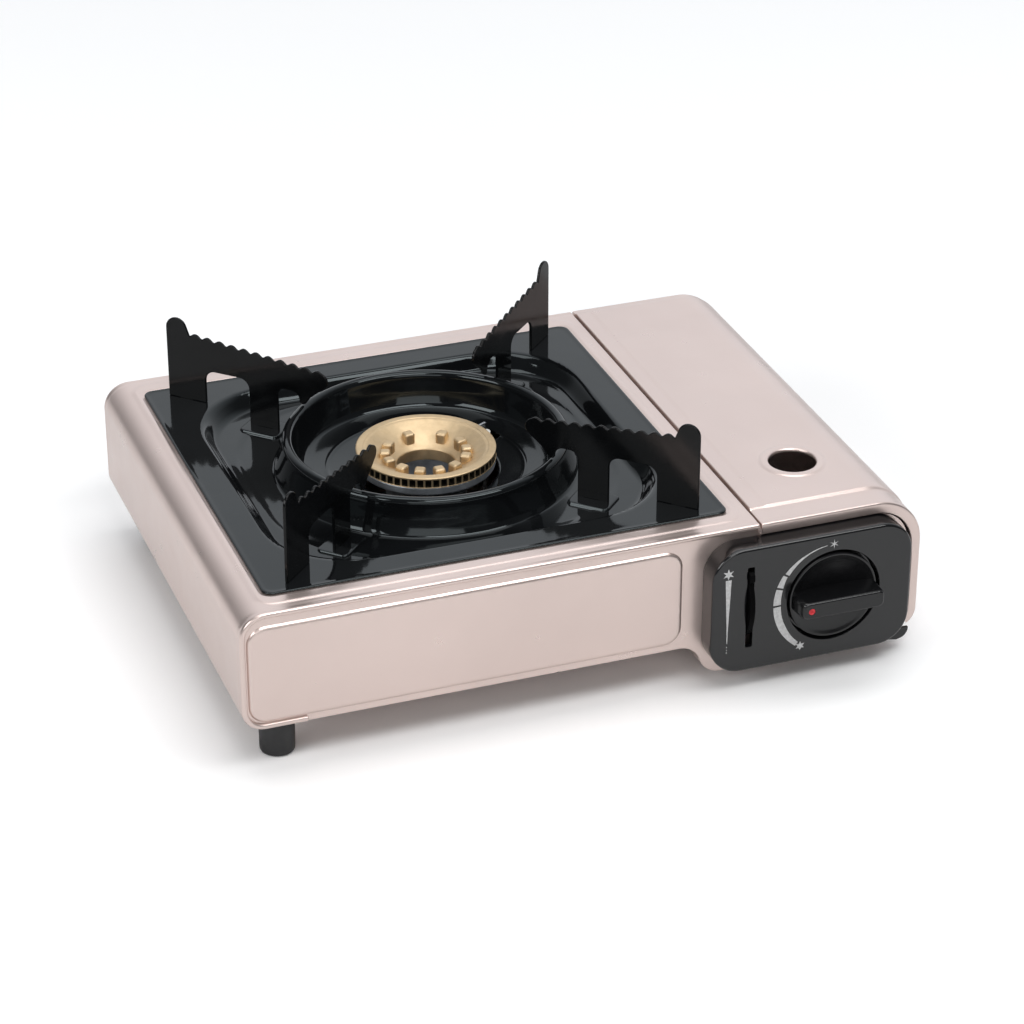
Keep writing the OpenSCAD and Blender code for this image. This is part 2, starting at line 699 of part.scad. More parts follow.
module cartridge_lid() color(case_paint) place() difference() {
    union() {
        along_y(lid_strip, body_d - 4) polygon(sheet_strip(lid_main_path, sheet_t));
        along_y(0, lid_strip) polygon(sheet_strip(lid_strip_path, sheet_t));
        along_y(body_d - 4, body_d) polygon(sheet_strip(lid_strip_path, sheet_t));
        for (y = [lid_strip, body_d - 4]) along_y(y - sheet_t / 2, y + sheet_t / 2)
            intersection() {
                polygon(sheet_strip(lid_main_path, 2 * sheet_t));
                translate([lid_x, body_h - lid_edge_r]) square([lid_w, 40]);
            }
        for (y = [0, body_d - sheet_t]) {
            along_y(y, y + sheet_t) polygon(sheet_strip(lid_rim_path, lid_rim_w));
            along_y(y, y + sheet_t) translate([lid_x, body_h - lid_rim_h])
                square([lid_w - lid_edge_r, lid_rim_h]);
        }
        for (y = [8, body_d - 8 - knuckle_len])
            bar_along_y(hinge_x, hinge_z, knuckle_r, y, y + knuckle_len);
        translate([can_x, lid_hole_y, main_top - sheet_t]) rotate_extrude()
            polygon([[lid_hole_r, -3], [lid_hole_r + 1, -3], [lid_hole_r + 1, 0],
            [lid_hole_r + 4.4, 0], [lid_hole_r + 4.4, 1.4], [lid_hole_r + 3.4, 1.9],
            [lid_hole_r + 1.2, 1.9], [lid_hole_r, 1.2]]);
    }
    bar_up(can_x, lid_hole_y, lid_hole_r, body_h - 5, body_h + 8);
    bar_along_y(hinge_x, hinge_z, hinge_rod_r + run_gap, 5, body_d - 5);
    for (y = [sheet_t, body_d - 4]) block([hinge_x - 6, y, hinge_z - 4],
        [body_w + 1, y + 3, hinge_z + 4]);
}

module lid_hinge_rod() color(bare_steel) place()
    bar_along_y(hinge_x, hinge_z, hinge_rod_r, rim_t, body_d - rim_t);

// ---- drip tray and pan supports ----

// Sloping wall of the basin between its rim and its floor
module basin_wall() {
    rim = round_box(basin_hx, basin_hy, basin_r);
    low = round_box(basin_hx - basin_slope, basin_hy - basin_slope, floor_r);
    rim_in = round_box(basin_hx - tray_t, basin_hy - tray_t, basin_r - tray_t);
    low_in = round_box(basin_hx - basin_slope - tray_t, basin_hy - basin_slope - tray_t,
        floor_r - tray_t);
    n = len(rim);
    rings = concat([for (p = low) [p[0], p[1], basin_floor - tray_t]],
        [for (p = rim) [p[0], p[1], body_h]], [for (p = rim_in) [p[0], p[1], flange_top]],
        [for (p = low_in) [p[0], p[1], basin_floor]]);
    polyhedron(points = rings, faces = [for (k = [0 : 3]) for (i = [0 : n - 1])
        let (a = k * n, b = (k + 1) % 4 * n, j = (i + 1) % n) each
        [[a + i, b + i, b + j], [a + i, b + j, a + j]]], convexity = 6);
}

// Path of the upper face of the wind ring and of the tray's middle
ring_path = concat([[tray_hole_r, basin_floor - 2.5], [48.5, basin_floor - 1],
    [59.5, basin_floor + 1], [ring_r - 2.6, crest_z - 2.6]],
    arc(ring_r, crest_z - 2.6, 2.6, 180, 0, 1),
    [[ring_r + 4, crest_z - 9.8], [ring_r + 8, crest_z - 10.6], [ring_r + 10.5, basin_floor]]);

module drip_tray() color(enamel_black) place() difference() {
    translate([burner_x, burner_y, 0]) {
        translate([0, 0, body_h]) linear_extrude(tray_t) difference() {
            polygon(round_box(tray_w / 2, tray_d / 2, tray_r));
            polygon(round_box(basin_hx - tray_t, basin_hy - tray_t, basin_r - tray_t));
        }
        basin_wall();
        translate([0, 0, basin_floor - tray_t]) linear_extrude(tray_t) difference() {
            polygon(round_box(basin_hx - basin_slope, basin_hy - basin_slope, floor_r));
            circle(ring_r + 10.5);
        }
        rotate_extrude() polygon(sheet_strip(concat(ring_path,
            [[ring_r + 12, basin_floor]]), tray_t));
    }
    for (a = [45 : 90 : 315]) translate([burner_x, burner_y, 0]) rotate([0, 0, a]) {
        translate([blade_out - 14, -blade_t / 2, body_h - 1])
            cube([tab_w, blade_t, 3]);
        translate([inner_leg_s + 3.5, -blade_t / 2, basin_floor - 3])
            cube([tab_w, blade_t, 6]);
    }
    translate([burner_x, burner_y, 0]) rotate([0, 0, electrode_ang])
        translate([30, -6, basin_floor - 6]) cube([19, 12, 8]);
}

// Outline of a pan support, as distance from the burner's axis and height
function serration(s) = flange_top + blade_h - edge_fall * (notch_s - s)
    + scallop_h / 2 * (1 - cos(360 * (notch_s - s) / scallop_pitch));
blade_points = concat(
    [[blade_out, flange_top]],
    arc(tip_c[0], tip_c[1], horn_r, 0, 150),
    [for (i = [0 : 6 * scallops]) let (s = notch_s - i * scallop_pitch / 6) [s, serration(s)]],
    [[tip_s - 3, serration(tip_s) - 0.2], [blade_in + 1.5, serration(tip_s) - 0.9],
    [blade_in, serration(tip_s) - 3], [blade_in, serration(tip_s) - 5],
    [blade_in + 8, crest_z + 6], [ring_r - 1.4, crest_z + 1], [notch_start, crest_z + 1]],
    arc(notch_start + 4.5, notch_top - 4.5, 4.5, 180, 90),
    arc(inner_leg_s - 4.5, notch_top - 4.5, 4.5, 90, 0),
    [[inner_leg_s, basin_floor], [inner_leg_s + 3.5, basin_floor],
    [inner_leg_s + 3.5, basin_floor - tab_h], [inner_leg_s + 3.5 + tab_w, basin_floor - tab_h],
    [inner_leg_s + 3.5 + tab_w, basin_floor], [inner_leg_s + inner_leg, basin_floor]],
    arc(inner_leg_s + inner_leg + window_r, window_top - window_r, window_r, 180, 90),
    arc(blade_out - outer_leg - window_r, window_top - window_r, window_r, 90, 0),
    [[blade_out - outer_leg, flange_top], [blade_out - 14, flange_top],
    [blade_out - 14, flange_top - tab_h], [blade_out - 14 + tab_w, flange_top - tab_h],
    [blade_out - 14 + tab_w, flange_top]]);

module pan_support(a) color(enamel_black) place() translate([burner_x, burner_y, 0])
    rotate([0, 0, a]) translate([0, blade_t / 2, 0]) rotate([90, 0, 0])
    linear_extrude(blade_t) polygon(blade_points);
module pan_support_rear_right() pan_support(45);
module pan_support_rear_left() pan_support(135);
module pan_support_front_left() pan_support(225);
module pan_support_front_right() pan_support(315);

// ---- burner ----

module burner_cap() color(brass_yellow) place() translate([burner_x, burner_y, 0])
    difference() {
        union() {
            rotate_extrude() polygon([[0, cap_top - well_drop], [cap_hole_r + well_wall,
                cap_top - well_drop], [cap_hole_r + well_wall, cap_top - dish_drop - 1.5],
                [cap_r - cap_rim, cap_top - 2], [cap_r - cap_wall, cap_top - 2],
                [cap_r - cap_wall, slot_bottom], [cap_r, slot_bottom],
                [cap_r, cap_top], [cap_r - cap_rim, cap_top],
                [cap_hole_r, cap_top - dish_drop], [cap_hole_r, cap_top - well_drop + 1],
                [0, cap_top - well_drop + 1]]);
            for (i = [0 : studs - 1]) rotate([0, 0, 90 + 360 * i / studs])
                translate([19.5, -1.8, cap_top - dish_drop + 1.5]) cube([4, 3.6, 4]);
        }
        for (i = [0 : flame_slots - 1]) rotate([0, 0, 360 * (i + 0.5) / flame_slots])
            translate([cap_r - cap_wall - 1, -slot_w / 2, slot_bottom - 1])
            cube([4, slot_w, slot_h + 1]);
    }

module burner_head() color(cast_grey) place() translate([burner_x, burner_y, 0])
    difference() {
        union() {
            rotate_extrude() polygon([[0, cup_floor], [cup_r, cup_floor],
                [cup_r, slot_bottom - 9], [cap_r - 1, slot_bottom - 1.5], [cap_r, slot_bottom - 1.5],
                [cap_r, slot_bottom], [cap_r - 4, slot_bottom],
                [cup_r - cup_wall, slot_bottom - 7.5], [cup_r - cup_wall, cup_floor + 5],
                [0, cup_floor + 5]]);
            translate([0, 0, tube_z]) rotate([0, 0, tube_ang]) rotate([0, 90, 0])
                translate([0, 0, cup_r - 4]) cylinder(h = 14, r = tube_r + 1.8);
        }
        translate([0, 0, tube_z]) rotate([0, 0, tube_ang]) rotate([0, 90, 0])
            cylinder(h = 40, r = tube_r);
        for (s = [-1, 1]) translate([s * 9, -7, cup_floor - 1])
            cylinder(h = 4.5, r = screw_r);
    }

module burner_bracket() color(bare_steel) place() difference() {
    along_x(burner_x - 14, burner_x + 14) polygon(sheet_strip([
        [burner_y - bridge_foot - 6, deck_z + 2 * sheet_t],
        [burner_y - bridge_foot + 6, deck_z + 2 * sheet_t], [burner_y - 25, heat_z - sheet_t],
        [burner_y + 25, heat_z - sheet_t], [burner_y + bridge_foot - 6, deck_z + 2 * sheet_t],
        [burner_y + bridge_foot + 6, deck_z + 2 * sheet_t]], sheet_t));
    for (s = [-1, 1]) bar_up(burner_x, burner_y + s * bridge_foot, screw_r, 20, 40);
    for (s = [-1, 1]) bar_up(burner_x + s * 9, burner_y - 7, screw_r, 20, 40);
}

module burner_screws() color(bare_steel) place() {
    for (s = [-1, 1]) translate([burner_x + s * 9, burner_y - 7, heat_z - 2 * sheet_t])
        pan_screw(screw_r, 5, 2.8, 1.6);
    for (s = [-1, 1]) translate([burner_x, burner_y + s * bridge_foot, deck_z])
        pan_screw(screw_r, 5, 2.8, 1.6);
}

module mixing_tube() color(bare_steel) place() translate([burner_x, burner_y, tube_z])
    rotate([0, 0, tube_ang]) rotate([0, 90, 0]) difference() {
        translate([0, 0, cup_r - 3]) cylinder(h = tube_end - cup_r + 3, r = tube_r);
        translate([0, 0, cup_r - 4]) cylinder(h = tube_end - cup_r + 6, r = tube_r - tube_wall);
    }

// ---- regulator ----

// Move along the line from the burner's axis to the regulator
module jet_line(s) translate([burner_x, burner_y, tube_z]) rotate([0, 0, tube_ang])
    translate([s, 0, 0]) rotate([0, 90, 0]) children();

module gas_jet() color(brass_yellow) place() difference() {
    union() {
        jet_line(socket_face - 5) cylinder(h = 9, r = jet_r);
        jet_line(socket_face - 2) cylinder(h = 2, r = jet_r + 1.5, $fn = 6);
        jet_line(socket_face - jet_len) cylinder(h = 5, r = jet_r - 0.8);
    }
    jet_line(socket_face - jet_len - 1) cylinder(h = 3, r = 0.6);
    jet_line(socket_face - jet_len + 1) cylinder(h = 14, r = 1.2);
}

module regulator_body() color(cast_grey) place() difference() {
    union() {
        block([block_x, block_front, block_z], [block_x + block_w, bracket_y, block_top]);
        bar_along_y(can_x, can_z, boss_r, bracket_y - 2, boss_end);
        jet_line(socket_face) cylinder(h = 12, r = 7);
        bar_up(chamber_x, chamber_y, chamber_r, block_top - 2, diaphragm_z);
        bar_along_y(valve_x, valve_z, 8, 20, block_front + 2);
    }
    bar_along_y(can_x, can_z, stem_r, boss_end - stem_len, boss_end + 1);
    bar_along_y(can_x, can_z, stem_r + 2, boss_end - 1 - seal_t, boss_end - 1);
    bar_along_y(can_x, can_z, 1.2, 44, boss_end);
    bar_along_y(valve_x, valve_z, spindle_r + run_gap, 10, spindle_end + 1);
    jet_line(socket_face - 1) cylinder(h = 5, r = jet_r);
    jet_line(socket_face - 1) cylinder(h = 16, r = 1.2);
    bar_up(chamber_x, chamber_y, cavity_r, diaphragm_z - 2.5, diaphragm_z + 5);
    for (s = [-1, 1]) bar_along_y(can_x + s * mount_x, can_z, screw_r, bracket_y - 7, bracket_y + 1);
    for (a = [45 : 90 : 315]) translate([chamber_x, chamber_y, diaphragm_z - 5])
        rotate([0, 0, a]) translate([cover_pcd_r, 0, 0]) cylinder(h = 7, r = small_screw_r);
}

module diaphragm() color(rubber_black) place() translate([chamber_x, chamber_y, diaphragm_z])
    difference() {
        cylinder(h = 1, r = chamber_r);
        for (a = [45 : 90 : 315]) rotate([0, 0, a]) translate([cover_pcd_r, 0, -1])
            cylinder(h = 3, r = small_screw_r);
    }

module diaphragm_cover() color(bare_steel) place()
    translate([chamber_x, chamber_y, diaphragm_z + 1]) difference() {
        union() {
            cylinder(h = 2, r = chamber_r);
            cylinder(h = cover_h, r = cavity_r + 0.4);
        }
        translate([0, 0, -1]) cylinder(h = cover_h, r = cavity_r - 0.8);
        for (a = [45 : 90 : 315]) rotate([0, 0, a]) translate([cover_pcd_r, 0, -1])
            cylinder(h = 9, r = small_screw_r);
    }

module diaphragm_spring() color(bare_steel) place()
    translate([chamber_x, chamber_y, diaphragm_z + 1.1]) coil(5, 0.5, cover_h - 1.3, 4);

module cover_screws() color(bare_steel) place()
    for (a = [45 : 90 : 315]) translate([chamber_x, chamber_y, diaphragm_z + 3])
        rotate([0, 0, a]) translate([cover_pcd_r, 0, 0]) mirror([0, 0, 1])
        pan_screw(small_screw_r, 7, 1.8, 1.2);

module regulator_screws() color(bare_steel) place()
    for (s = [-1, 1]) translate([can_x + s * mount_x, bracket_y + sheet_t, can_z])
        rotate([90, 0, 0]) pan_screw(screw_r, 7, 2.6, 1.4);

module inlet_seal() color(rubber_black) place() difference() {
    bar_along_y(can_x, can_z, stem_r + 2, boss_end - 1 - seal_t, boss_end - 1);
    bar_along_y(can_x, can_z, stem_r, boss_end - 4, boss_end);
}

// ---- knob, spindle and igniter cam ----

module valve_spindle() color(brass_yellow) place() union() {
    bar_along_y(valve_x, valve_z, spindle_r, knob_back - 3, spindle_end);
}

// Radius of the cam for each angle around the spindle
function cam_radius(a) = rest_cam_r - cam_rate * (a - 180);
module igniter_cam() color(plastic_black) place() difference() {
    translate([valve_x, igniter_y + cam_t / 2, valve_z]) rotate([90, 0, 0])
        linear_extrude(cam_t) polygon([for (a = [180 - cam_lead - cam_slack : 5 :
        180 - cam_lead + knob_turn + cam_slack]) cam_radius(a) * [cos(a), sin(a)]]);
    bar_along_y(valve_x, valve_z, spindle_r, igniter_y - cam_t, igniter_y + cam_t);
}

module control_knob() color(plastic_black) place() difference() {
    union() {
        bar_along_y(valve_x, valve_z, knob_r, face_y, knob_back);
        bar_along_y(valve_x, valve_z, hub_r, knob_back - 1, hub_back);
        translate([valve_x, 0, valve_z]) {
            block([grip_w / 2 - grip_len / 2, -front_reach, -grip_w / 2],
                [grip_len / 2 - grip_w / 2, face_y + 1, grip_w / 2]);
            for (s = [-1, 1]) bar_along_y(s * (grip_len - grip_w) / 2, 0, grip_w / 2,
                -front_reach, face_y + 1);
        }
    }
    bar_along_y(valve_x, valve_z, spindle_r, knob_back - 3, hub_back + 1);
    bar_along_y(valve_x - marker_s, valve_z, marker_r, -front_reach - 1, 1 - front_reach);
}

module knob_marker() color([0.75, 0.12, 0.1]) place()
    bar_along_y(valve_x - marker_s, valve_z, marker_r, -front_reach, 1 - front_reach);

// ---- control panel and lever ----

module panel_box(inset, y0, y1) translate([panel_x + panel_w / 2, 0, valve_z])
    along_y(y0, y1)
    polygon(round_box(panel_w / 2 - inset, panel_h / 2 - inset, panel_r - inset));

module control_panel() color(plastic_black) place() difference() {
    union() {
        difference() {
            panel_box(0, face_y, rim_t);
            panel_box(panel_wall, face_y + panel_wall, rim_t + 1);
        }
        bar_along_y(valve_x, valve_z, knob_r + knob_gap + 2, face_y + 1, well_back);
        for (p = panel_screw_at) bar_along_y(p[0], p[1], 4.5, face_y + 1, rim_t);
    }
    bar_along_y(valve_x, valve_z, knob_r + knob_gap, face_y - 1, well_floor);
    bar_along_y(valve_x, valve_z, hub_r + 0.6, face_y, rim_t);
    for (p = panel_screw_at) bar_along_y(p[0], p[1], screw_r, face_y + 4, rim_t + 1);
    block([lever_x - lever_slot_w / 2, face_y - 1, lever_z - lever_slot_h / 2],
        [lever_x + lever_slot_w / 2, rim_t + 1, lever_z + lever_slot_h / 2]);
}

module panel_screws() color(bare_steel) place()
    for (p = panel_screw_at) translate([p[0], inside_front, p[1]])
        rotate([90, 0, 0]) pan_screw(screw_r, 7, 2.8, 1.6);

// Lock lever, a sector with a finger tab that turns about its pivot along X
module lock_lever() color(plastic_black) place() translate([lever_x, pivot_y, lever_z])
    difference() {
        union() {
            translate([-lever_t / 2, 0, 0]) rotate([90, 0, 90]) linear_extrude(lever_t)
                polygon(concat([[0, 0]], [for (i = [0 : 12]) let (a = 180 - lean - 6
                + (2 * lean + 12) * i / 12) lever_r * [cos(a), sin(a)]], [[drive_arm, -4]]));
            rotate([-lean, 0, 0]) translate([-lever_t / 2, -lever_r - 4.5, -2.6])
                cube([lever_t, 9, 5.2]);
            rotate([0, 90, 0]) translate([0, 0, -2.7]) cylinder(h = 5.8, r = 4.4);
            rotate([-lean, 0, 0]) translate([-lever_t / 2, -3, 0])
                cube([lever_t, 6, drive_arm + 2]);
            rotate([-lean, 0, 0]) translate([0, 0, drive_arm]) rotate([0, 90, 0])
                cylinder(h = bar_x + bar_t + 0.8 - lever_x, r = drive_r);
        }
        translate([-9, 0, 0]) rotate([0, 90, 0]) cylinder(h = 20, r = pivot_r + run_gap);
    }

module lever_bracket() color(bare_steel) place() difference() {
    union() {
        block([lever_x - 5.6, inside_front, lever_z - 9],
            [lever_x - 4.1, pivot_y + 6, lever_z + 9]);
        block([lever_x - 16, inside_front, lever_z - 9],
            [lever_x - 4.1, inside_front + 1.5, lever_z + 9]);
    }
    bar_along_x(pivot_y, lever_z, pivot_r, lever_x - 8, lever_x);
}

module lever_pivot_pin() color(bare_steel) place() union() {
    bar_along_x(pivot_y, lever_z, pivot_r, lever_x - 6.6, lever_x + 4.4);
    bar_along_x(pivot_y, lever_z, 3.4, lever_x - 6.6, lever_x - 5.6);
    bar_along_x(pivot_y, lever_z, 3.4, lever_x + 3.5, lever_x + 4.5);
}

// Sliding carriage that the lever draws towards the regulator
module cartridge_carriage() color(bare_steel) place() difference() {
    union() {
        block([bar_x, bar_front, bar_low], [bar_x + bar_t, bar_front + 14, bar_high]);
        block([bar_x, bar_front, bar_rail], [bar_x + bar_t, fork_y + 1.5, bar_high]);
        along_y(fork_y, fork_y + 1.5) difference() {
            translate([bar_x, 14]) square([can_x + 28 - bar_x, fork_top - 14]);
            translate([can_x, can_z]) circle(collar_r);
            translate([can_x - collar_r, can_z]) square([2 * collar_r, 60]);
        }
        block([bar_x, bar_front, bar_high - 6], [bar_x + 9, bar_front + 1.5, bar_high]);
    }
    block([bar_x - 1, fork_y - 1, tube_z - tube_r - 1.5],
        [bar_x + 8, fork_y + 3, tube_z + tube_r + 1.5]);
    block([bar_x - 1, drive_y - drive_r - drive_gap, drive_z - drive_r - 0.5],
        [bar_x + bar_t + 1, drive_y + drive_r + drive_gap, drive_z + drive_r + 1.6]);
}

module carriage_spring() color(bare_steel) place()
    translate([spring_x, bar_front + 1.6, bar_high - 3]) rotate([-90, 0, 0])
    coil(2.2, 0.4, bracket_y - bar_front - 2.2, 9);

// ---- igniter ----

module igniter_body() color(plastic_black) place() difference() {
    block([igniter_x, inside_front, valve_z - igniter_h / 2],
        [igniter_end, igniter_y + igniter_h / 2, valve_z + igniter_h / 2]);
    bar_along_x(igniter_y, valve_z, plunger_r + run_gap, igniter_x + 2, igniter_end + 1);
}

module igniter_plunger() color(bare_steel) place() union() {
    bar_along_x(igniter_y, valve_z, plunger_r, igniter_x + 4.5, plunger_tip - plunger_r);
    translate([plunger_tip - plunger_r, igniter_y, valve_z]) sphere(plunger_r);
}

module ignition_wire() color(rubber_black) place() wire(wire_path, wire_r, 12, [1, 1, 0]);
// Each corner of the wire's route is cut off twice, which rounds it
function round_path(p) = concat([p[0]], [for (i = [1 : len(p) - 2]) each
    [p[i] + 0.25 * (p[i - 1] - p[i]), p[i] + 0.25 * (p[i + 1] - p[i])]], [p[len(p) - 1]]);
wire_path = round_path(round_path(wire_at));

module electrode_insulator() color([0.9, 0.89, 0.85]) place() difference() {
    bar_up(electrode_x, electrode_y, ceramic_r, ceramic_low, ceramic_top);
    bar_up(electrode_x, electrode_y, 0.9, ceramic_low + 6, ceramic_top + 1);
}

module electrode_rod() color(bare_steel) place() translate([electrode_x, electrode_y, 0])
    rotate([0, 0, electrode_ang]) {
        translate([0, 0, ceramic_low + 6]) cylinder(h = slot_top - ceramic_low - 8, r = 0.9);
        translate([0, 0, slot_top - 2]) sphere(0.9);
        translate([0, 0, slot_top - 2]) rotate([0, -90, 0]) cylinder(h = 5, r = 0.9);
    }

module electrode_bracket() color(bare_steel) place() translate([burner_x, burner_y, arm_z])
    rotate([0, 0, electrode_ang]) difference() {
        union() {
            translate([cup_r - 1, -5, 0]) cube([electrode_at - cup_r + 1, 10, 1.2]);
            translate([electrode_at, 0, 0]) cylinder(h = 1.2, r = 5);
        }
        translate([0, 0, -1]) cylinder(h = 4, r = cup_r);
        translate([electrode_at, 0, -1]) cylinder(h = 4, r = ceramic_r);
    }

// ---- feet and base screws ----

module foot(x, y, top) color(rubber_black) place() {
    bar_up(x, y, foot_r - 1, 0, 2);
    bar_up(x, y, foot_r, 1, top);
    bar_up(x, y, foot_neck_r, top - 1, top == deck_z ? deck_top : bay_floor);
    bar_up(x, y, foot_neck_r + 1.2, top == deck_z ? deck_top : bay_floor,
        top == deck_z ? deck_top + 2 : bay_floor + 2);
}
module foot_front_left() foot(foot_x, foot_y, deck_z);
module foot_rear_left() foot(foot_x, body_d - foot_y, deck_z);
module foot_front_right() foot(right_foot_x, foot_y, bay_z);
module foot_rear_right() foot(right_foot_x, body_d - foot_y, bay_z);

module base_screws() color(bare_steel) place() for (y = base_screw_y)
    translate([base_screw_x, y, deck_z]) pan_screw(screw_r, 5, 2.8, 1.6);

case_shell();
front_panel();
rear_panel();
base_plate();
bay_partition();
regulator_bracket();
cartridge_rest();
heat_plate();
lid_hinge_rod();
cartridge_lid();
drip_tray();
pan_support_rear_left();
pan_support_rear_right();
pan_support_front_left();
pan_support_front_right();
burner_cap();
burner_head();
burner_bracket();
burner_screws();
mixing_tube();
gas_jet();
regulator_body();
diaphragm();
diaphragm_cover();
diaphragm_spring();
cover_screws();
regulator_screws();
inlet_seal();
valve_spindle();
igniter_cam();
control_knob();
knob_marker();
control_panel();
panel_screws();
lock_lever();
lever_bracket();
lever_pivot_pin();
cartridge_carriage();
carriage_spring();
cartridge_key();
igniter_body();
igniter_plunger();
ignition_wire();
electrode_insulator();
electrode_rod();
electrode_bracket();
foot_front_left();
foot_rear_left();
foot_front_right();
foot_rear_right();
base_screws();
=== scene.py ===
import json
import math

import bmesh
import bpy
from mathutils import Matrix, Vector

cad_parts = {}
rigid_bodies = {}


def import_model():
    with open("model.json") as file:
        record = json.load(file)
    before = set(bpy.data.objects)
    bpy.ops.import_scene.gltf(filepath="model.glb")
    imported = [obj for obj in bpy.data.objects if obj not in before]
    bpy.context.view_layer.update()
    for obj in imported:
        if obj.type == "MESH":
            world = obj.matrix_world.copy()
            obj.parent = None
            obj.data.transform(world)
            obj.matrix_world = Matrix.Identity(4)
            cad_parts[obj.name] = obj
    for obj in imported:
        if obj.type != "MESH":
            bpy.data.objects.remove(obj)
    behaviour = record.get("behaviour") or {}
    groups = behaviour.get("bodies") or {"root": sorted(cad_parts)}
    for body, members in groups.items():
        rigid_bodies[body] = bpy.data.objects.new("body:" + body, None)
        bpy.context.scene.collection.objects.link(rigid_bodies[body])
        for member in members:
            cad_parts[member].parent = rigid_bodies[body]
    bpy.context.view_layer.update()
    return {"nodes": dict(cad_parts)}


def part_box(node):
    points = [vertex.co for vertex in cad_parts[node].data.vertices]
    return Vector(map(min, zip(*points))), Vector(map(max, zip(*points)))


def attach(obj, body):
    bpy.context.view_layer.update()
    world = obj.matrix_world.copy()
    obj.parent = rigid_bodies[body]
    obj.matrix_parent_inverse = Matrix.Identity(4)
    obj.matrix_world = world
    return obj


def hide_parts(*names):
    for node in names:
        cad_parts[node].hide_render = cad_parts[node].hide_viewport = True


bl_info = {
    "name": "Butane cassette stove",
    "version": (1, 0, 0),
    "blender": (4, 5, 0),
    "location": "View3D > Sidebar > Stove",
    "description": "Models and finishes the pieces of a tabletop butane stove",
    "category": "Add Mesh",
}

for leftover in list(bpy.data.objects):
    bpy.data.objects.remove(leftover)

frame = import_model()
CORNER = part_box("case_shell")[0]
MM = 0.001
WALL = 0.0009                   # thickness of the pressed sheets, in metres
WELD_GAP = 0.00003              # points nearer to each other than this are one, in metres

# Sizes in millimetres from the left wall, the front rim and the table, as the frame has them
CASE_D, TOP_Z = 250, 84
SEAM_X, LID_Z = 255, 85
DECK_Z, BAY_Z = 23, 6.5         # undersides below the burner and below the cartridge
BURNER = (131, 124)             # x and y of the burner's axis
CAP_TOP, CUP_TOP = 87.3, 81.85
KNOB = (289.8, 44.65)           # x and z of the knob's axis
SLOT = (246.4, 46.25)           # x and z of the middle of the lever's slot
PIVOT_Y = 13.5                  # distance of the lever's pin from the front rim
HOLE = (294.5, 51.5)            # x and y of the lid's finger hole
HINGE = (333.2, 15)             # x and z of the lid's rod
PANEL_MIDDLE, PANEL_HALF = (278.75, KNOB[1]), (51.75, 33.15)
FACE_Y = -10.5                  # the control panel's front
FIELD_MIDDLE, FIELD_HALF = (109.9, 51.7), (106.5, 25.3)
SHEET_Y = 1.55                  # depth of the pressed panels behind the rims
FEET = (("front_left", 21, 18.7, DECK_Z), ("rear_left", 21, 231.3, DECK_Z),
        ("front_right", 318, 18.7, BAY_Z), ("rear_right", 318, 231.3, BAY_Z))

# The underside steps down to the bay along two equal arcs
STEP_X, STEP_RADIUS = 215.5, 11.5
STEP_TURN = math.degrees(math.acos(1 - (DECK_Z - BAY_Z) / (2 * STEP_RADIUS)))
STEP_END = STEP_X + 2 * STEP_RADIUS * math.sin(math.radians(STEP_TURN))

# The camera: its place in metres, its turn and tilt in degrees, its focal length in millimetres
EYE, AZIMUTH, ELEVATION, LENS = (-0.4995, -1.3708, 0.8474), -20.103, 28.716, 117.93

FINISHES = {}


# ---- points ----

def spot(x, y, z):
    """A place in the stove's own frame, in metres."""
    return Vector((CORNER.x + x * MM, CORNER.y + y * MM, z * MM))


def in_mm(place):
    """A place in metres as millimetres of the stove's own frame."""
    return (place - Vector((CORNER.x, CORNER.y, 0))) / MM


def steps_between(low, high, count):
    return [low + (high - low) * k / count for k in range(count + 1)]


def smooth(t):
    """A step from 0 to 1 with soft ends."""
    t = max(0, min(1, t))
    return t * t * (3 - 2 * t)


def polar(centre, radius, angle):
    """A point at an angle in degrees around a centre."""
    a = math.radians(angle)
    return centre[0] + radius * math.cos(a), centre[1] + radius * math.sin(a)


def arc(cx, cz, radius, start, end, steps):
    return [polar((cx, cz), radius, angle) for angle in steps_between(start, end, steps)]


def circle(centre, radius, steps=32):
    turns = [2 * math.pi * k / steps for k in range(steps)]
    return [(centre[0] + radius * math.cos(a), centre[1] + radius * math.sin(a)) for a in turns]


def rounded(half_x, half_z, radius, steps):
    """A rectangle with rounded corners around the origin."""
    loop = []
    for turn, sx, sz in ((0, 1, 1), (90, -1, 1), (180, -1, -1), (270, 1, -1)):
        loop += arc(sx * (half_x - radius), sz * (half_z - radius), radius, turn, turn + 90, steps)
    return loop


def moved(points, centre):
    return [(centre[0] + u, centre[1] + v) for u, v in points]


def pulled(points, radius):
    """Points drawn in or out until they lie on a circle around the origin."""
    return [(radius * x / math.hypot(x, y), radius * y / math.hypot(x, y)) for x, y in points]


def at_depth(points, y):
    """A loop of (x, z) at one distance from the front rim."""
    return [(x, y, z) for x, z in points]


def at_height(points, z):
    """A loop of (x, y) at one height."""
    return [(x, y, z) for x, y in points]


def box_distance(x, y, cx, cy, half_x, half_y, radius):
    """Signed distance to a rounded rectangle, negative inside."""
    dx, dy = abs(x - cx) - half_x + radius, abs(y - cy) - half_y + radius
    return math.hypot(max(dx, 0), max(dy, 0)) + min(max(dx, dy), 0) - radius


def inward(path):
    """Unit directions to the right of a path, which is the inside of its sheet."""
    normals = []
    for (ax, az), (bx, bz) in zip(path[:1] + path[:-1], path[1:] + path[-1:]):
        length = math.hypot(bx - ax, bz - az)
        normals.append(((bz - az) / length, -(bx - ax) / length))
    return normals


# ---- modelling ----

def select_none():
    active = bpy.context.view_layer.objects.active
    if active and active.mode != "OBJECT":
        bpy.ops.object.mode_set(mode="OBJECT")
    bpy.ops.object.select_all(action="DESELECT")


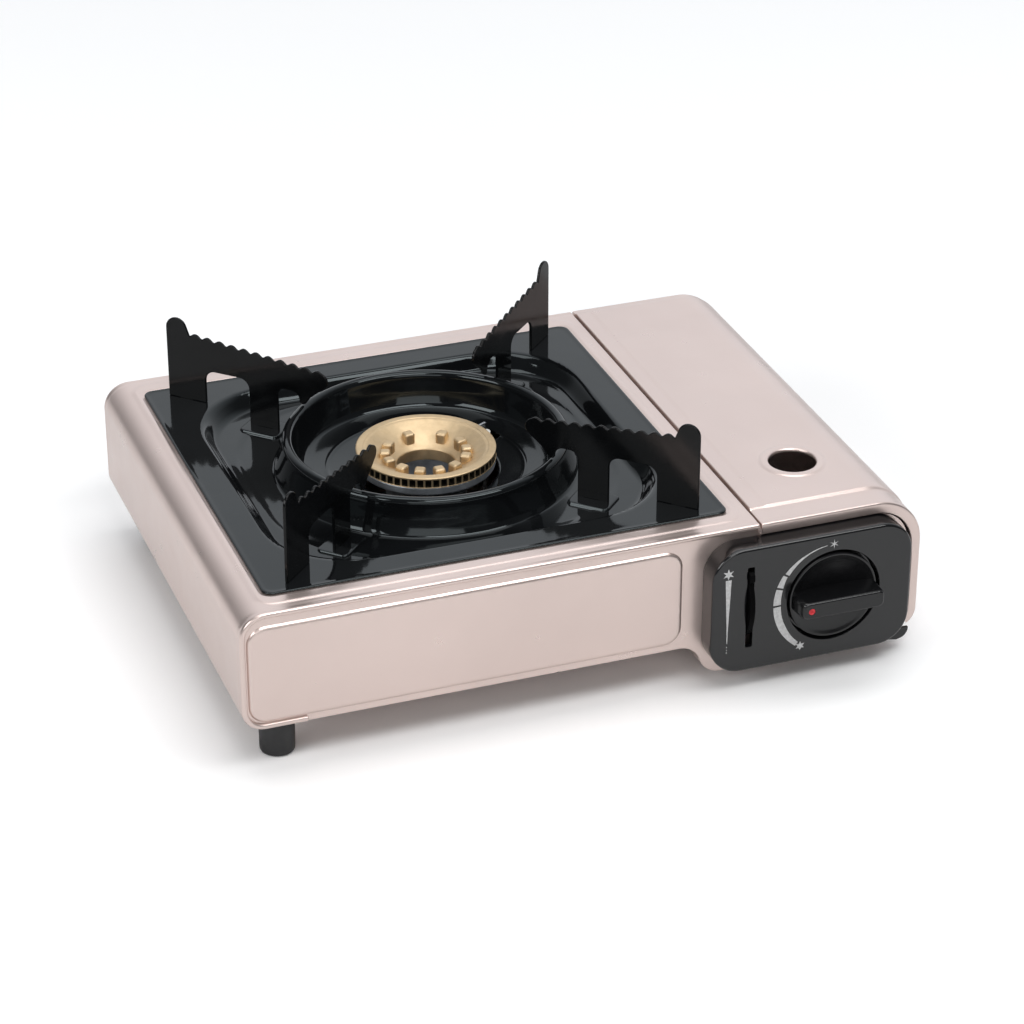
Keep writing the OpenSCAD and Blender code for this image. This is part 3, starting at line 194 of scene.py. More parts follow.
def pick(piece):
    select_none()
    piece.select_set(True)
    bpy.context.view_layer.objects.active = piece


def edit(piece, kind="VERT", action="DESELECT"):
    pick(piece)
    bpy.ops.object.mode_set(mode="EDIT")
    bpy.ops.mesh.select_mode(type=kind)
    bpy.ops.mesh.select_all(action=action)
    return bmesh.from_edit_mesh(piece.data)


def done():
    bpy.ops.object.mode_set(mode="OBJECT")


def whole(piece, operator, **settings):
    """Use a mesh operator on all that a piece has."""
    edit(piece, action="SELECT")
    operator(**settings)
    done()


def weld(piece):
    whole(piece, bpy.ops.mesh.remove_doubles, threshold=WELD_GAP)


def face_out(piece):
    whole(piece, bpy.ops.mesh.normals_make_consistent, inside=False)


def face_towards(piece, test):
    """Turn an open sheet so that the faces that pass a test look the way it asks."""
    face_out(piece)
    if sum(test(in_mm(poly.center), poly.normal) * poly.area for poly in piece.data.polygons) < 0:
        whole(piece, bpy.ops.mesh.flip_normals)


def skin(name, loops, closed=True):
    """Extrude a first loop of points into each of the loops that follow it."""
    select_none()
    bpy.ops.mesh.primitive_circle_add(vertices=len(loops[0]), radius=0.01)
    piece = bpy.context.object
    piece.name = piece.data.name = name
    bpy.ops.object.mode_set(mode="EDIT")
    bpy.ops.mesh.select_mode(type="VERT")
    mesh = bmesh.from_edit_mesh(piece.data)
    order = mesh.verts.layers.int.new("order")
    mesh.verts.layers.int.new("row")
    mesh.verts.ensure_lookup_table()
    for k, vert in enumerate(mesh.verts):
        vert[order] = k
        vert.co = spot(*loops[0][k])
    if not closed:
        mesh.edges.remove(mesh.edges.get((mesh.verts[0], mesh.verts[-1])))
        for edge in mesh.edges:
            edge.select = True
    for number, loop in enumerate(loops[1:], 1):
        bpy.ops.mesh.extrude_region_move()
        mesh = bmesh.from_edit_mesh(piece.data)
        order, row = mesh.verts.layers.int["order"], mesh.verts.layers.int["row"]
        for vert in mesh.verts:
            if vert.select:
                vert.co = spot(*loop[vert[order]])
                vert[row] = number
    done()
    return piece


def cap(piece, *rows):
    """Close rows of a skin, each with a face."""
    for number in rows:
        mesh = edit(piece)
        row = mesh.verts.layers.int["row"]
        for vert in mesh.verts:
            vert.select = vert[row] == number
        mesh.select_flush_mode()
        bpy.ops.mesh.edge_face_add()
        done()


def solid(name, loops):
    """A skin that is closed at both ends."""
    piece = skin(name, loops)
    cap(piece, len(loops) - 1, 0)
    face_out(piece)
    return piece


def join(name, pieces):
    pick(pieces[0])
    for piece in pieces[1:]:
        piece.select_set(True)
    bpy.ops.object.join()
    pieces[0].name = pieces[0].data.name = name
    return pieces[0]


def plate(name, loops):
    """A flat face within the first loop, with the other loops as its holes."""
    piece = join(name, [skin(name + "_line", [loop]) for loop in loops])
    whole(piece, bpy.ops.mesh.fill, use_beauty=True)
    return piece


def remove_faces(piece, test):
    """Delete the faces whose middle passes a test, in millimetres of the stove's frame."""
    for face in edit(piece, "FACE").faces:
        face.select = bool(test(in_mm(face.calc_center_median())))
    bpy.ops.mesh.delete(type="FACE")
    done()


def modify(piece, kind, **settings):
    pick(piece)
    bpy.ops.object.modifier_add(type=kind)
    change = piece.modifiers[-1]
    for key, value in settings.items():
        setattr(change, key, value)
    bpy.ops.object.modifier_apply(modifier=change.name)


def bevel(piece, width, segments, angle=30):
    """Soften the edges that turn by more than an angle, to a width in millimetres."""
    modify(piece, "BEVEL", width=width * MM, segments=segments, limit_method="ANGLE",
           angle_limit=math.radians(angle))


def sheet(piece, test, wall=WALL):
    """Turn an open skin the right way and give it a wall on its inner side."""
    face_towards(piece, test)
    modify(piece, "SOLIDIFY", thickness=wall, offset=-1, use_even_offset=False)


def cut(piece, cutters):
    """Cut other meshes out of a piece, then throw them away."""
    tool = join("cutter", cutters)
    face_out(tool)
    modify(piece, "BOOLEAN", operation="DIFFERENCE", solver="EXACT", object=tool)
    bpy.data.objects.remove(tool)


def block(name, low, high, width=0, segments=3):
    """A box between two corners, its edges softened; only a start or a cutter."""
    select_none()
    bpy.ops.mesh.primitive_cube_add(size=1, location=(spot(*low) + spot(*high)) / 2)
    piece = bpy.context.object
    piece.name = piece.data.name = name
    piece.scale = [(high[k] - low[k]) * MM for k in range(3)]
    bpy.ops.object.transform_apply(location=True, rotation=True, scale=True)
    if width:
        bevel(piece, width, segments)
    return piece


def swing(piece, angle):
    """Turn a piece's mesh around the burner's axis."""
    middle = Matrix.Translation(spot(*BURNER, 0))
    turn = Matrix.Rotation(math.radians(angle), 4, "Z")
    piece.data.transform(middle @ turn @ middle.inverted())


def swung_block(name, low, high, angle, width=0):
    """A box whose corners are counted from the burner's axis, then turned around it."""
    corners = [(BURNER[0] + x, BURNER[1] + y, z) for x, y, z in (low, high)]
    piece = block(name, *corners, width, 4)
    swing(piece, angle)
    return piece


def turned(name, centre, axis, profile, steps):
    """A turned piece: rows of (radius, height) around a centre along y or z."""
    place = at_height if axis == "z" else at_depth
    piece = skin(name, [place(circle(centre, radius, steps), height) for radius, height in profile])
    weld(piece)
    return piece


def laid(name, profile, steps, place, heading=0):
    """A turned piece laid along x, or along another heading in radians."""
    piece = turned(name, (0, 0), "z", profile, steps)
    piece.data.transform(
        Matrix.Translation(spot(*place)) @ Matrix.Rotation(heading, 4, "Z")
        @ Matrix.Rotation(math.radians(90), 4, "Y") @ Matrix.Translation(-spot(0, 0, 0)))
    return piece


def hole_cutter(centre, axis, start, end, radius):
    piece = turned("hole", centre, axis, [(radius, start), (radius, end)], 32)
    cap(piece, 0, 1)
    return piece


def finish(piece, body, material, slot, *nodes, angle=35):
    """Smooth a piece, give it its finish and tie it to the frame."""
    piece.data.materials.clear()
    piece.data.materials.append(FINISHES[material])
    pick(piece)
    bpy.ops.object.shade_smooth_by_angle(angle=math.radians(angle))
    modify(piece, "WEIGHTED_NORMAL", keep_sharp=True, weight=80)
    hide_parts(*nodes)
    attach(piece, body)


# ---- finishes ----

def add_node(tree, kind, output, inputs=None, **settings):
    """Add a node and return an output; an input is given a value or linked to a socket."""
    node = tree.nodes.new("ShaderNode" + kind)
    for key, value in settings.items():
        setattr(node, key, value)
    for key, value in (inputs or {}).items():
        if isinstance(value, bpy.types.NodeSocket):
            tree.links.new(value, node.inputs[key])
        else:
            node.inputs[key].default_value = value
    return node.outputs[output] if output else None


class Finish:
    """A material with its node tree and the few nodes that every finish uses."""

    def __init__(self, name, colour, metallic, roughness, **sockets):
        self.material = bpy.data.materials.new(name)
        self.material.use_nodes = True
        self.tree = self.material.node_tree
        self.shader = self.tree.nodes["Principled BSDF"].inputs
        self.place = self.add("TexCoord", "Object")
        self.last_bump = None
        sockets.update({"Base Color": (*colour, 1), "Metallic": metallic, "Roughness": roughness})
        for key, value in sockets.items():
            self.shader[key.replace("_", " ")].default_value = value

    def add(self, *kind, **settings):
        return add_node(self.tree, *kind, **settings)

    def noise(self, scale, detail, rough=0.5, stretch=None, distortion=0, rings=False):
        """Noise over the piece, or along the distance from the burner's axis."""
        inputs = {"Scale": scale, "Detail": detail, "Roughness": rough, "Distortion": distortion}
        place = self.place
        if stretch:
            place = self.add("Mapping", "Vector", {"Vector": place, "Scale": stretch})
        if rings:
            centre = spot(*BURNER, 0)
            flat = self.add("Mapping", "Vector", {
                "Vector": place, "Location": (-centre.x, -centre.y, 0), "Scale": (1, 1, 0)})
            inputs["W"] = self.add("VectorMath", "Value", {0: flat}, operation="LENGTH")
            return self.add("TexNoise", "Fac", inputs, noise_dimensions="1D")
        inputs["Vector"] = place
        return self.add("TexNoise", "Fac", inputs)

    def ranged(self, grain, low, high):
        """The middle part of a noise, spread over a range."""
        return self.add("MapRange", "Result", {
            "Value": self.noise(*grain), "From Min": 0.3, "From Max": 0.7,
            "To Min": low, "To Max": high})

    def rough(self, grain, low, high):
        self.tree.links.new(self.ranged(grain, low, high), self.shader["Roughness"])
        return self

    def tint(self, grain, dark, light):
        """Base colour that varies between two shades."""
        mix = self.add("Mix", "Result", {"Factor": self.ranged(grain, 0, 1), "A": (*dark, 1),
                                         "B": (*light, 1)}, data_type="RGBA")
        self.tree.links.new(mix, self.shader["Base Color"])
        return self

    def bump(self, grain, strength, distance):
        inputs = {"Strength": strength, "Distance": distance, "Height": self.noise(*grain)}
        if self.last_bump:
            inputs["Normal"] = self.last_bump
        self.last_bump = self.add("Bump", "Normal", inputs)
        self.tree.links.new(self.last_bump, self.shader["Normal"])
        return self


def shade(colour, factor):
    return tuple(min(1, c * factor) for c in colour)


def make_finishes(tones):
    """All finishes of the stove, by a plain name; a grain is what Finish.noise takes."""
    champagne, enamel, brass, plastic = [
        tuple(tone) for tone in (tones.champagne, tones.enamel, tones.brass, tones.plastic)]
    made = {
        "paint": Finish("champagne_paint", champagne, 0.84, 0.34,
                        Coat_Weight=0.15, Coat_Roughness=0.2)
        .tint((14, 3), shade(champagne, 0.965), shade(champagne, 1.03))
        .rough((60, 4, 0.6), 0.27, 0.35).bump((9, 1), 0.25, 0.0004),

        # The blue specular tint is a painted blue cast in the enamel's reflections
        "enamel": Finish("black_enamel", enamel, 0, 0.05, IOR=1.45,
                         Specular_Tint=(0.86, 0.97, 1, 1))
        .rough((40, 4, 0.6), 0.04, 0.1)
        .tint((25, 3), shade(enamel, 0.8), shade(enamel, 1.25))
        .bump((240, 2), 0.1, 0.00012).bump((35, 2), 0.18, 0.0005),

        "support": Finish("support_enamel", shade(enamel, 0.6), 0, 0.14, Specular_IOR_Level=0.2)
        .rough((60, 4, 0.6), 0.1, 0.2)
        .tint((40, 3), shade(enamel, 0.5), shade(enamel, 0.95))
        .bump((300, 2), 0.15, 0.00012).bump((50, 2), 0.15, 0.0005),

        "brass": Finish("satin_brass", brass, 1, 0.44)
        .bump((2600, 3, 0.5, None, 0, True), 0.35, 0.0001)
        .tint((120, 4, 0.65), shade(brass, 0.86), shade(brass, 1.06))
        .rough((260, 3), 0.44, 0.58).bump((900, 2), 0.2, 0.0001),

        # Near-black brass that paints the shade inside the flame slots
        "slot_shade": Finish("brass_painted_slot_shade", (0.03, 0.024, 0.016), 0.6, 0.6)
        .tint((500, 3), (0.015, 0.012, 0.009), (0.05, 0.04, 0.025)).bump((1200, 3), 0.3, 0.00012),

        "turned_brass": Finish("turned_brass", (0.8, 0.62, 0.32), 1, 0.28)
        .rough((300, 3), 0.22, 0.36).bump((1500, 1), 0.1, 0.00005),

        "cast": Finish("cast_aluminium", (0.5, 0.53, 0.57), 0.9, 0.45)
        .tint((160, 4, 0.6), (0.4, 0.43, 0.47), (0.58, 0.61, 0.65))
        .rough((400, 3), 0.38, 0.55).bump((1400, 3, 0.7), 0.3, 0.00015),

        "steel": Finish("zinc_steel", (0.62, 0.63, 0.65), 1, 0.32)
        .tint((60, 5, 0.7, None, 0.8), (0.52, 0.53, 0.56), (0.72, 0.73, 0.74))
        .rough((220, 4, 0.6), 0.25, 0.42).bump((1800, 1, 0.5, (1, 0.05, 1)), 0.12, 0.00005),

        "plastic": Finish("black_plastic", plastic, 0, 0.34, IOR=1.5, Specular_IOR_Level=0.62)
        .rough((90, 4, 0.6), 0.12, 0.18)
        .tint((30, 2), shade(plastic, 0.9), shade(plastic, 1.12)).bump((1500, 1), 0.05, 0.00004),

        "knob": Finish("knob_plastic", plastic, 0, 0.2, IOR=1.5)
        .rough((120, 4, 0.6), 0.16, 0.25)
        .tint((30, 2), shade(plastic, 0.85), shade(plastic, 1.05)).bump((1200, 2), 0.05, 0.00004),

        "coated": Finish("black_coated_steel", (0.002, 0.002, 0.0022), 0, 0.55,
                         Specular_IOR_Level=0.03)
        .rough((90, 3), 0.45, 0.6).tint((60, 3), (0.0015, 0.0015, 0.0017), (0.003, 0.003, 0.0033))
        .bump((900, 2), 0.1, 0.00005),

        "rubber": Finish("foot_rubber", (0.018, 0.018, 0.019), 0, 0.45)
        .rough((150, 4, 0.6), 0.38, 0.6).tint((60, 3), (0.012, 0.012, 0.013), (0.03, 0.03, 0.031))
        .bump((1500, 2), 0.2, 0.00008),

        "red": Finish("marker_red", (0.62, 0.02, 0.03), 0, 0.3)
        .tint((900, 2), (0.5, 0.01, 0.02), (0.75, 0.04, 0.05)).bump((1500, 2), 0.2, 0.00006),

        "ink": Finish("printed_grey", (0.52, 0.52, 0.52), 0, 0.45)
        .tint((700, 3, 0.7), (0.42, 0.42, 0.42), (0.6, 0.6, 0.6)).bump((2400, 2), 0.15, 0.00004),

        "ceramic": Finish("glazed_ceramic", (0.85, 0.84, 0.79), 0, 0.2)
        .tint((120, 3), (0.78, 0.76, 0.7), (0.88, 0.87, 0.83)).bump((600, 2), 0.1, 0.00005),

        "sleeve": Finish("wire_sleeve", (0.36, 0.35, 0.33), 0, 0.5)
        .tint((200, 3), (0.3, 0.29, 0.27), (0.42, 0.41, 0.39)).bump((1500, 2), 0.2, 0.00006),

        "wire": Finish("spring_wire", (0.48, 0.49, 0.51), 1, 0.28)
        .rough((900, 3), 0.2, 0.4).tint((300, 3), (0.4, 0.41, 0.43), (0.56, 0.57, 0.58)),
    }
    return {name: entry.material for name, entry in made.items()}


# ---- properties ----

LENGTH = {"subtype": "DISTANCE", "unit": "LENGTH"}
COLOUR = {"size": 3, "subtype": "COLOR", "min": 0, "max": 1}


class StoveSizes(bpy.types.PropertyGroup):
    bead: bpy.props.FloatProperty(
        name="Rim bead", description="Height of the rolled rims around the front and the rear",
        default=0.0028, min=0.002, max=0.003, **LENGTH)
    plateau: bpy.props.FloatProperty(
        name="Tray border", description="Height of the raised border around the drip tray",
        default=0.0006, min=0, max=0.001, **LENGTH)
    panel_fillet: bpy.props.FloatProperty(
        name="Panel edge", description="Radius of the control panel's front edge",
        default=0.0015, min=0.0008, max=0.004, **LENGTH)
    knob_turn: bpy.props.IntProperty(
        name="Roundness", description="Sides of the knob's disc", default=96, min=48, max=160)


class StoveTones(bpy.types.PropertyGroup):
    champagne: bpy.props.FloatVectorProperty(
        name="Body paint", description="Metallic paint of the case and the lid",
        default=(0.74, 0.61, 0.565), **COLOUR)
    enamel: bpy.props.FloatVectorProperty(
        name="Enamel", description="Enamel of the tray and the pan supports",
        default=(0.0045, 0.005, 0.0056), **COLOUR)
    brass: bpy.props.FloatVectorProperty(
        name="Burner", description="Brass of the burner cap",
        default=(0.66, 0.505, 0.315), **COLOUR)
    plastic: bpy.props.FloatVectorProperty(
        name="Plastic", description="Plastic of the panel and the knob",
        default=(0.0052, 0.0054, 0.006), **COLOUR)


# ---- case ----

def bead_rows(bead):
    """Distance from the front and depth below the face, along the rolled rim."""
    return [(2.2, bead), (1.1, bead), (0.5, bead - 0.2), (0.12, bead - 0.65), (0, 0.5 * bead),
            (0.1, 0.85), (0.4, 0.38), (0.95, 0.08), (1.7, 0), (2.4, 0.06), (3.1, 0.2),
            (3.9, 0.2), (4.7, 0.06), (5.6, 0)]


def both_ends(rows, middle):
    """Stations along the depth: (distance from the front, depth below the face)."""
    rear = [(CASE_D - y, depth) for y, depth in reversed(rows)]
    return rows + [(y, 0) for y in middle] + rear


def border_height(x, y, height):
    """Raised border around the tray, with a fall into the tray's seat."""
    out = box_distance(x, y, 131.2, 124.6, 119, 117.4, 9)
    seat = box_distance(x, y, *BURNER, 115.3, 109.8, 5.8)
    return height * smooth((1.1 - out) / 2.2) * smooth((seat + 0.2) / 1.3)


class STOVE_OT_case(bpy.types.Operator):
    """Bent top and left wall with its rolled rims, seam ledge and tray opening"""
    bl_idname = "stove.case_shell"
    bl_label = "Case shell"

    def execute(self, context):
        sizes = context.scene.stove_sizes
        path = [(31, 24), (28, 24), (20, 24), (13, 24), (12, 23.5)]
        flange = len(path)
        path += arc(11, 34, 11, 270, 180, 14) + [(0, 42), (0, 52), (0, 62)]
        path += arc(13, 71, 13, 180, 90, 18)
        left = [13.5, 14, 14.5, 15, 15.5, 16, 16.6, 17.4, 18.4, 19.6, 21.5]
        right = [240.5, 243, 244.6, 245.2, 245.8, 246.4, 247, 248, 249, 250, 250.7, 251.4, 252.2,
                 253.2, 254.2]
        path += [(x, TOP_Z) for x in left + steps_between(21.5, 240.5, 24)[1:-1] + right]
        path += [(254.65, 83.93), (254.93, 83.65), (255, 83.2), (255, 82), (255, 80.6)]
        near = [6.2, 6.8, 7.4, 8, 8.7, 9.6, 10.6, 11.6, 12.4, 13, 13.5, 14, 14.5, 15, 15.6,
                16.4, 17.6, 20]
        far = [228, 230.6, 232, 232.8, 233.3, 233.8, 234.3, 234.9, 235.8, 237, 238.2, 239.4, 240.4,
               241.2, 242, 242.8, 243.6]
        middle = near + steps_between(20, 228, 20)[1:-1] + far
        loops = []
        for y, depth in both_ends(bead_rows(sizes.bead / MM), middle):
            loop = []
            at_end = y < 2.4 or y > CASE_D - 2.4
            for k, ((x, z), (nx, nz)) in enumerate(zip(path, inward(path))):
                if at_end and k < flange:
                    z, nx, nz = DECK_Z, 0, 1
                if x > 250:
                    nx, nz = 0, -1
                px, pz = x + nx * depth, z + nz * depth
                if z > 83 and 7 < x < 254:
                    pz += border_height(x, y, sizes.plateau / MM)
                loop.append((px, y, pz))
            loops.append(loop)
        piece = skin("Outer_shell", loops, closed=False)
        remove_faces(piece, lambda m: 21.5 < m.x < 240.5 and 20 < m.y < 228 and m.z > 80)
        sheet(piece, lambda m, n: n.z if m.z > 83 else (-n.x if m.x < 1 else 0))
        ledge = block("ledge", (254, 3, 79.5), (261, 247, 80.5), 0.2)
        piece = join("Outer_shell", [piece, ledge])
        finish(piece, "case", "paint", "case_paint", "case_shell")
        return {"FINISHED"}


def base_outline():
    path = arc(332, 9, 2.5, 0, -90, 6)
    path += [(x, BAY_Z) for x in (326, 312, 290, 268, 250)]
    path += arc(STEP_END, BAY_Z + STEP_RADIUS, STEP_RADIUS, 270, 270 - STEP_TURN, 14)
    path += arc(STEP_X, STEP_RADIUS, STEP_RADIUS, 90 - STEP_TURN, 90, 14)[1:]
    path += [(x, DECK_Z) for x in (205, 190, 170, 150, 131, 110, 90, 70, 50, 34, 24, 16)]
    return path + [(12.4, 23.1)]


class STOVE_OT_base(bpy.types.Operator):
    """Underside with the step down to the cartridge bay, its rims and its air slots"""
    bl_idname = "stove.base_plate"
    bl_label = "Base plate"

    def execute(self, context):
        path = base_outline()
        turned_in = [(2.75, 3.2), (2.6, 3), (2.6, 1), (2.68, 0.5), (2.9, 0.15), (3.3, 0)]
        loops = []
        for y, depth in both_ends(turned_in, steps_between(8, 242, 14)):
            loop = []
            for (x, z), (nx, nz) in zip(path, inward(path)):
                here = min(depth, 1.6) if x > 328 else depth
                loop.append((x + nx * here, y, z + nz * here))
            loops.append(loop)
        piece = skin("Base_plate", loops, closed=False)
        sheet(piece, lambda m, n: -n.z)
        cutters = [swung_block("slot", (34, -3, 20), (58, 3, 28), 15 + 30 * k, 2.5)
                   for k in range(12)]
        cutters += [block("slot", (268, y, 3), (312, y + 5, 10)) for y in range(80, 228, 24)]
        cutters += [hole_cutter((x, y), "z", 2, 28, 3) for _, x, y, _ in FEET]
        cut(piece, cutters)
        finish(piece, "case", "paint", "case_paint", "base_plate")
        return {"FINISHED"}


def panel_outline(w):
    """Edge of a pressed panel, drawn in from the case's outline."""
    low = 0.15
    path = arc(11, 34, 11 - w, 180, 270, 12)
    path += [(31.2, 23 + w), (31.5, 23 + w - 0.3), (31.6, 23 + low)]
    path += arc(STEP_X, STEP_RADIUS, STEP_RADIUS + low, 90, 90 - STEP_TURN, 12)
    path += arc(STEP_END, 18, STEP_RADIUS - low, 270 - STEP_TURN, 270, 12)[1:]
    path += arc(330.5, 9.5 + low, 3, 270, 360, 6) + arc(316, 60, 17.5, 0, 90, 14)
    path += [(SEAM_X - low, 77.5), (SEAM_X - low, TOP_Z - w)]
    return path + arc(13, 71, 13 - w, 90, 180, 12)


def pressed_panel(name, node, side, holes):
    """A sheet behind the rims with a soft raised field; side 1 faces front, -1 faces rear."""
    def depth(y):
        return y if side > 0 else CASE_D - y

    def field(inset, y):
        half_x, half_z = FIELD_HALF
        points = rounded(half_x - inset, half_z - inset, max(9 - inset, 0.1), 12)
        return at_depth(moved(points, FIELD_MIDDLE), depth(y))

    edge, *openings = [at_depth(loop, depth(SHEET_Y)) for loop in [panel_outline(2.3)] + holes]
    flat = plate(name, [edge, field(0, SHEET_Y)] + openings)
    rows = [(0, SHEET_Y), (0.25, 1.25), (0.6, 0.8), (1, 0.5), (1.5, 0.32), (2.2, 0.2),
            (3.2, 0.13), (5, 0.1), (8.9, 0.08)]
    swell = skin(name + "_field", [field(inset, y) for inset, y in rows])
    cap(swell, len(rows) - 1)
    piece = join(name, [flat, swell])
    weld(piece)
    sheet(piece, lambda m, n: -n.y * side)
    finish(piece, "case", "paint", "case_paint", node)


class STOVE_OT_panels(bpy.types.Operator):
    """Front and rear panels with their raised fields"""
    bl_idname = "stove.pressed_panels"
    bl_label = "Front and rear panels"

    def execute(self, context):
        slot = moved(rounded(3, 30, 1, 2), SLOT)
        pressed_panel("Front_panel", "front_panel", 1, [circle(KNOB, 9), slot])
        vents = [circle((HOLE[0] + 9 * (i - 2.5), 34 + 16 * j), 2, 16)
                 for i in range(6) for j in range(2)]
        pressed_panel("Rear_panel", "rear_panel", -1, vents)
        return {"FINISHED"}


# ---- lid ----

class STOVE_OT_lid(bpy.types.Operator):
    """Cartridge lid with its shoulder, curled lower edge, front strip and finger hole"""
    bl_idname = "stove.cartridge_lid"
    bl_label = "Cartridge lid"

    def execute(self, context):
        piece = skin("Cartridge_lid", self.loops(), closed=False)
        remove_faces(piece, lambda m: abs(m.x - HOLE[0]) < 18 and abs(m.y - HOLE[1]) < 18
                     and m.z > 84)
        ring = turned("ring", HOLE, "z", [
            (17.2, 85), (16.8, 85.03), (16.3, 85.18), (15.7, 85.48), (15.1, 85.7), (14.3, 85.8),
            (13.3, 85.8), (12.6, 85.7), (12.1, 85.45), (11.8, 85.1), (11.7, 84.7),
            (11.7, 84.1)], 72)
        piece = join("Cartridge_lid", [piece, ring])
        for edge in edit(piece, "EDGE").edges:
            middle = in_mm((edge.verts[0].co + edge.verts[1].co) / 2)
            reach = math.hypot(middle.x - HOLE[0], middle.y - HOLE[1])
            edge.select = edge.is_boundary and reach < 27 and middle.z > 84.9
        bpy.ops.mesh.bridge_edge_loops()
        done()
        remove_faces(piece, lambda m: m.x > 325 and m.z < 19
                     and (1.1 < m.y < 4 or m.y > CASE_D - 4))
        sheet(piece, lambda m, n: n.z if m.z > 84.5 else 0)
        knuckles = [turned("knuckle", HINGE, "y", [
            (1.6, y), (2.7, y), (3, y + 0.3), (3, y + 21.7), (2.7, y + 22), (1.6, y + 22),
            (1.6, y)], 40) for y in (8, 220)]
        piece = join("Cartridge_lid", [piece] + knuckles)
        finish(piece, "lid", "paint", "lid_paint", "cartridge_lid")
        return {"FINISHED"}

    def loops(self):
        path = [(256, 80.9), (256, 82), (256, 83.2), (256, 84.3), (256.12, 84.75), (256.45, 84.96)]
        lip = len(path) - 1
        foot_z, lip_z = path[0][1], path[lip][1]
        flat = [257.2, 259, 261, 262.6, 263.4, 264.2, 265, 265.8, 267, 270, 273.5, 276.5]
        path += [(x, LID_Z) for x in flat + steps_between(276.5, 312.5, 12)[1:]]
        path += arc(316, 61, 24, 90, 0, 24) + [(340, 52), (340, 42), (340, 32)]
        path += arc(330, 22, 10, 0, -57, 11)
        # distance from the end and share of the full depth, along the rolled ends
        rows = [(0.75, 1), (0.25, 0.99), (0, 0.93), (0, 0.6), (0, 0.28), (0.06, 0.16),
                (0.25, 0.07), (0.6, 0.015), (1.1, 0), (2, 0), (4, 0)]
        middle = [7, 10, 12.6, 13.2, 13.8, 14.4, 15, 15.6, 16.4, 19, 24, 29, 33.5]
        middle += steps_between(33.5, 69.5, 12)[1:] + steps_between(69.5, 238, 16)[1:]
        middle += [242, 244.2, 245, 245.8, 246.6]
        stations = rows + [(y, 0) for y in middle]
        stations += [(CASE_D - y, part) for y, part in reversed(rows) if y < 3]
        loops = []
        for y, part in stations:
            drop = 1.15 * smooth((16.2 - y) / 2.4) if y < 100 else smooth((y - 244) / 2.2)
            loop = []
            for k, ((x, z), (nx, nz)) in enumerate(zip(path, inward(path))):
                side = smooth((z - 50) / 25) if x > 300 else 1
                width = (4.5 + 1.1 * side) * part
                fall = drop * smooth((z - 38) / 20)
                if z > 84.5 and 256.5 < x < 266:
                    fall += 0.3 * (1 - drop) * smooth((265.4 - x) / 2)
                if k <= lip:
                    top = lip_z - fall - width
                    bottom = min(foot_z, top - 0.3)
                    t = (z - foot_z) / (lip_z - foot_z)
                    loop.append((x, y, bottom + (top - bottom) * t))
                else:
                    loop.append((x + nx * width, y, z + nz * width - fall))
            loops.append(loop)
        return loops


# ---- tray and pan supports ----

def tray_height(x, y):
    """Height of the pressed tray outside its wind ring, x and y from the burner."""
    edge = box_distance(x, y, 0, 0, 99, 94, 47)
    deep = LID_Z - 7.6 * smooth(-edge / 7.5)
    shelf = box_distance(x, y, 0, 0, 88.5, 83.5, 60)
    return deep - 0.4 * smooth(-(shelf + 0.5) / 3)


def tray_line(half_x, half_y, radius):
    """A rounded rectangle with many points along its straight sides too."""
    steps = 12
    loop = rounded(half_x, half_y, radius, steps)
    full = []
    for k, (ax, ay) in enumerate(loop):
        full.append((ax, ay))
        if k % (steps + 1) == steps:
            bx, by = loop[(k + 1) % len(loop)]
            full += [(ax + (bx - ax) * t, ay + (by - ay) * t)
                     for t in steps_between(0, 1, 44)[1:-1]]
    return full


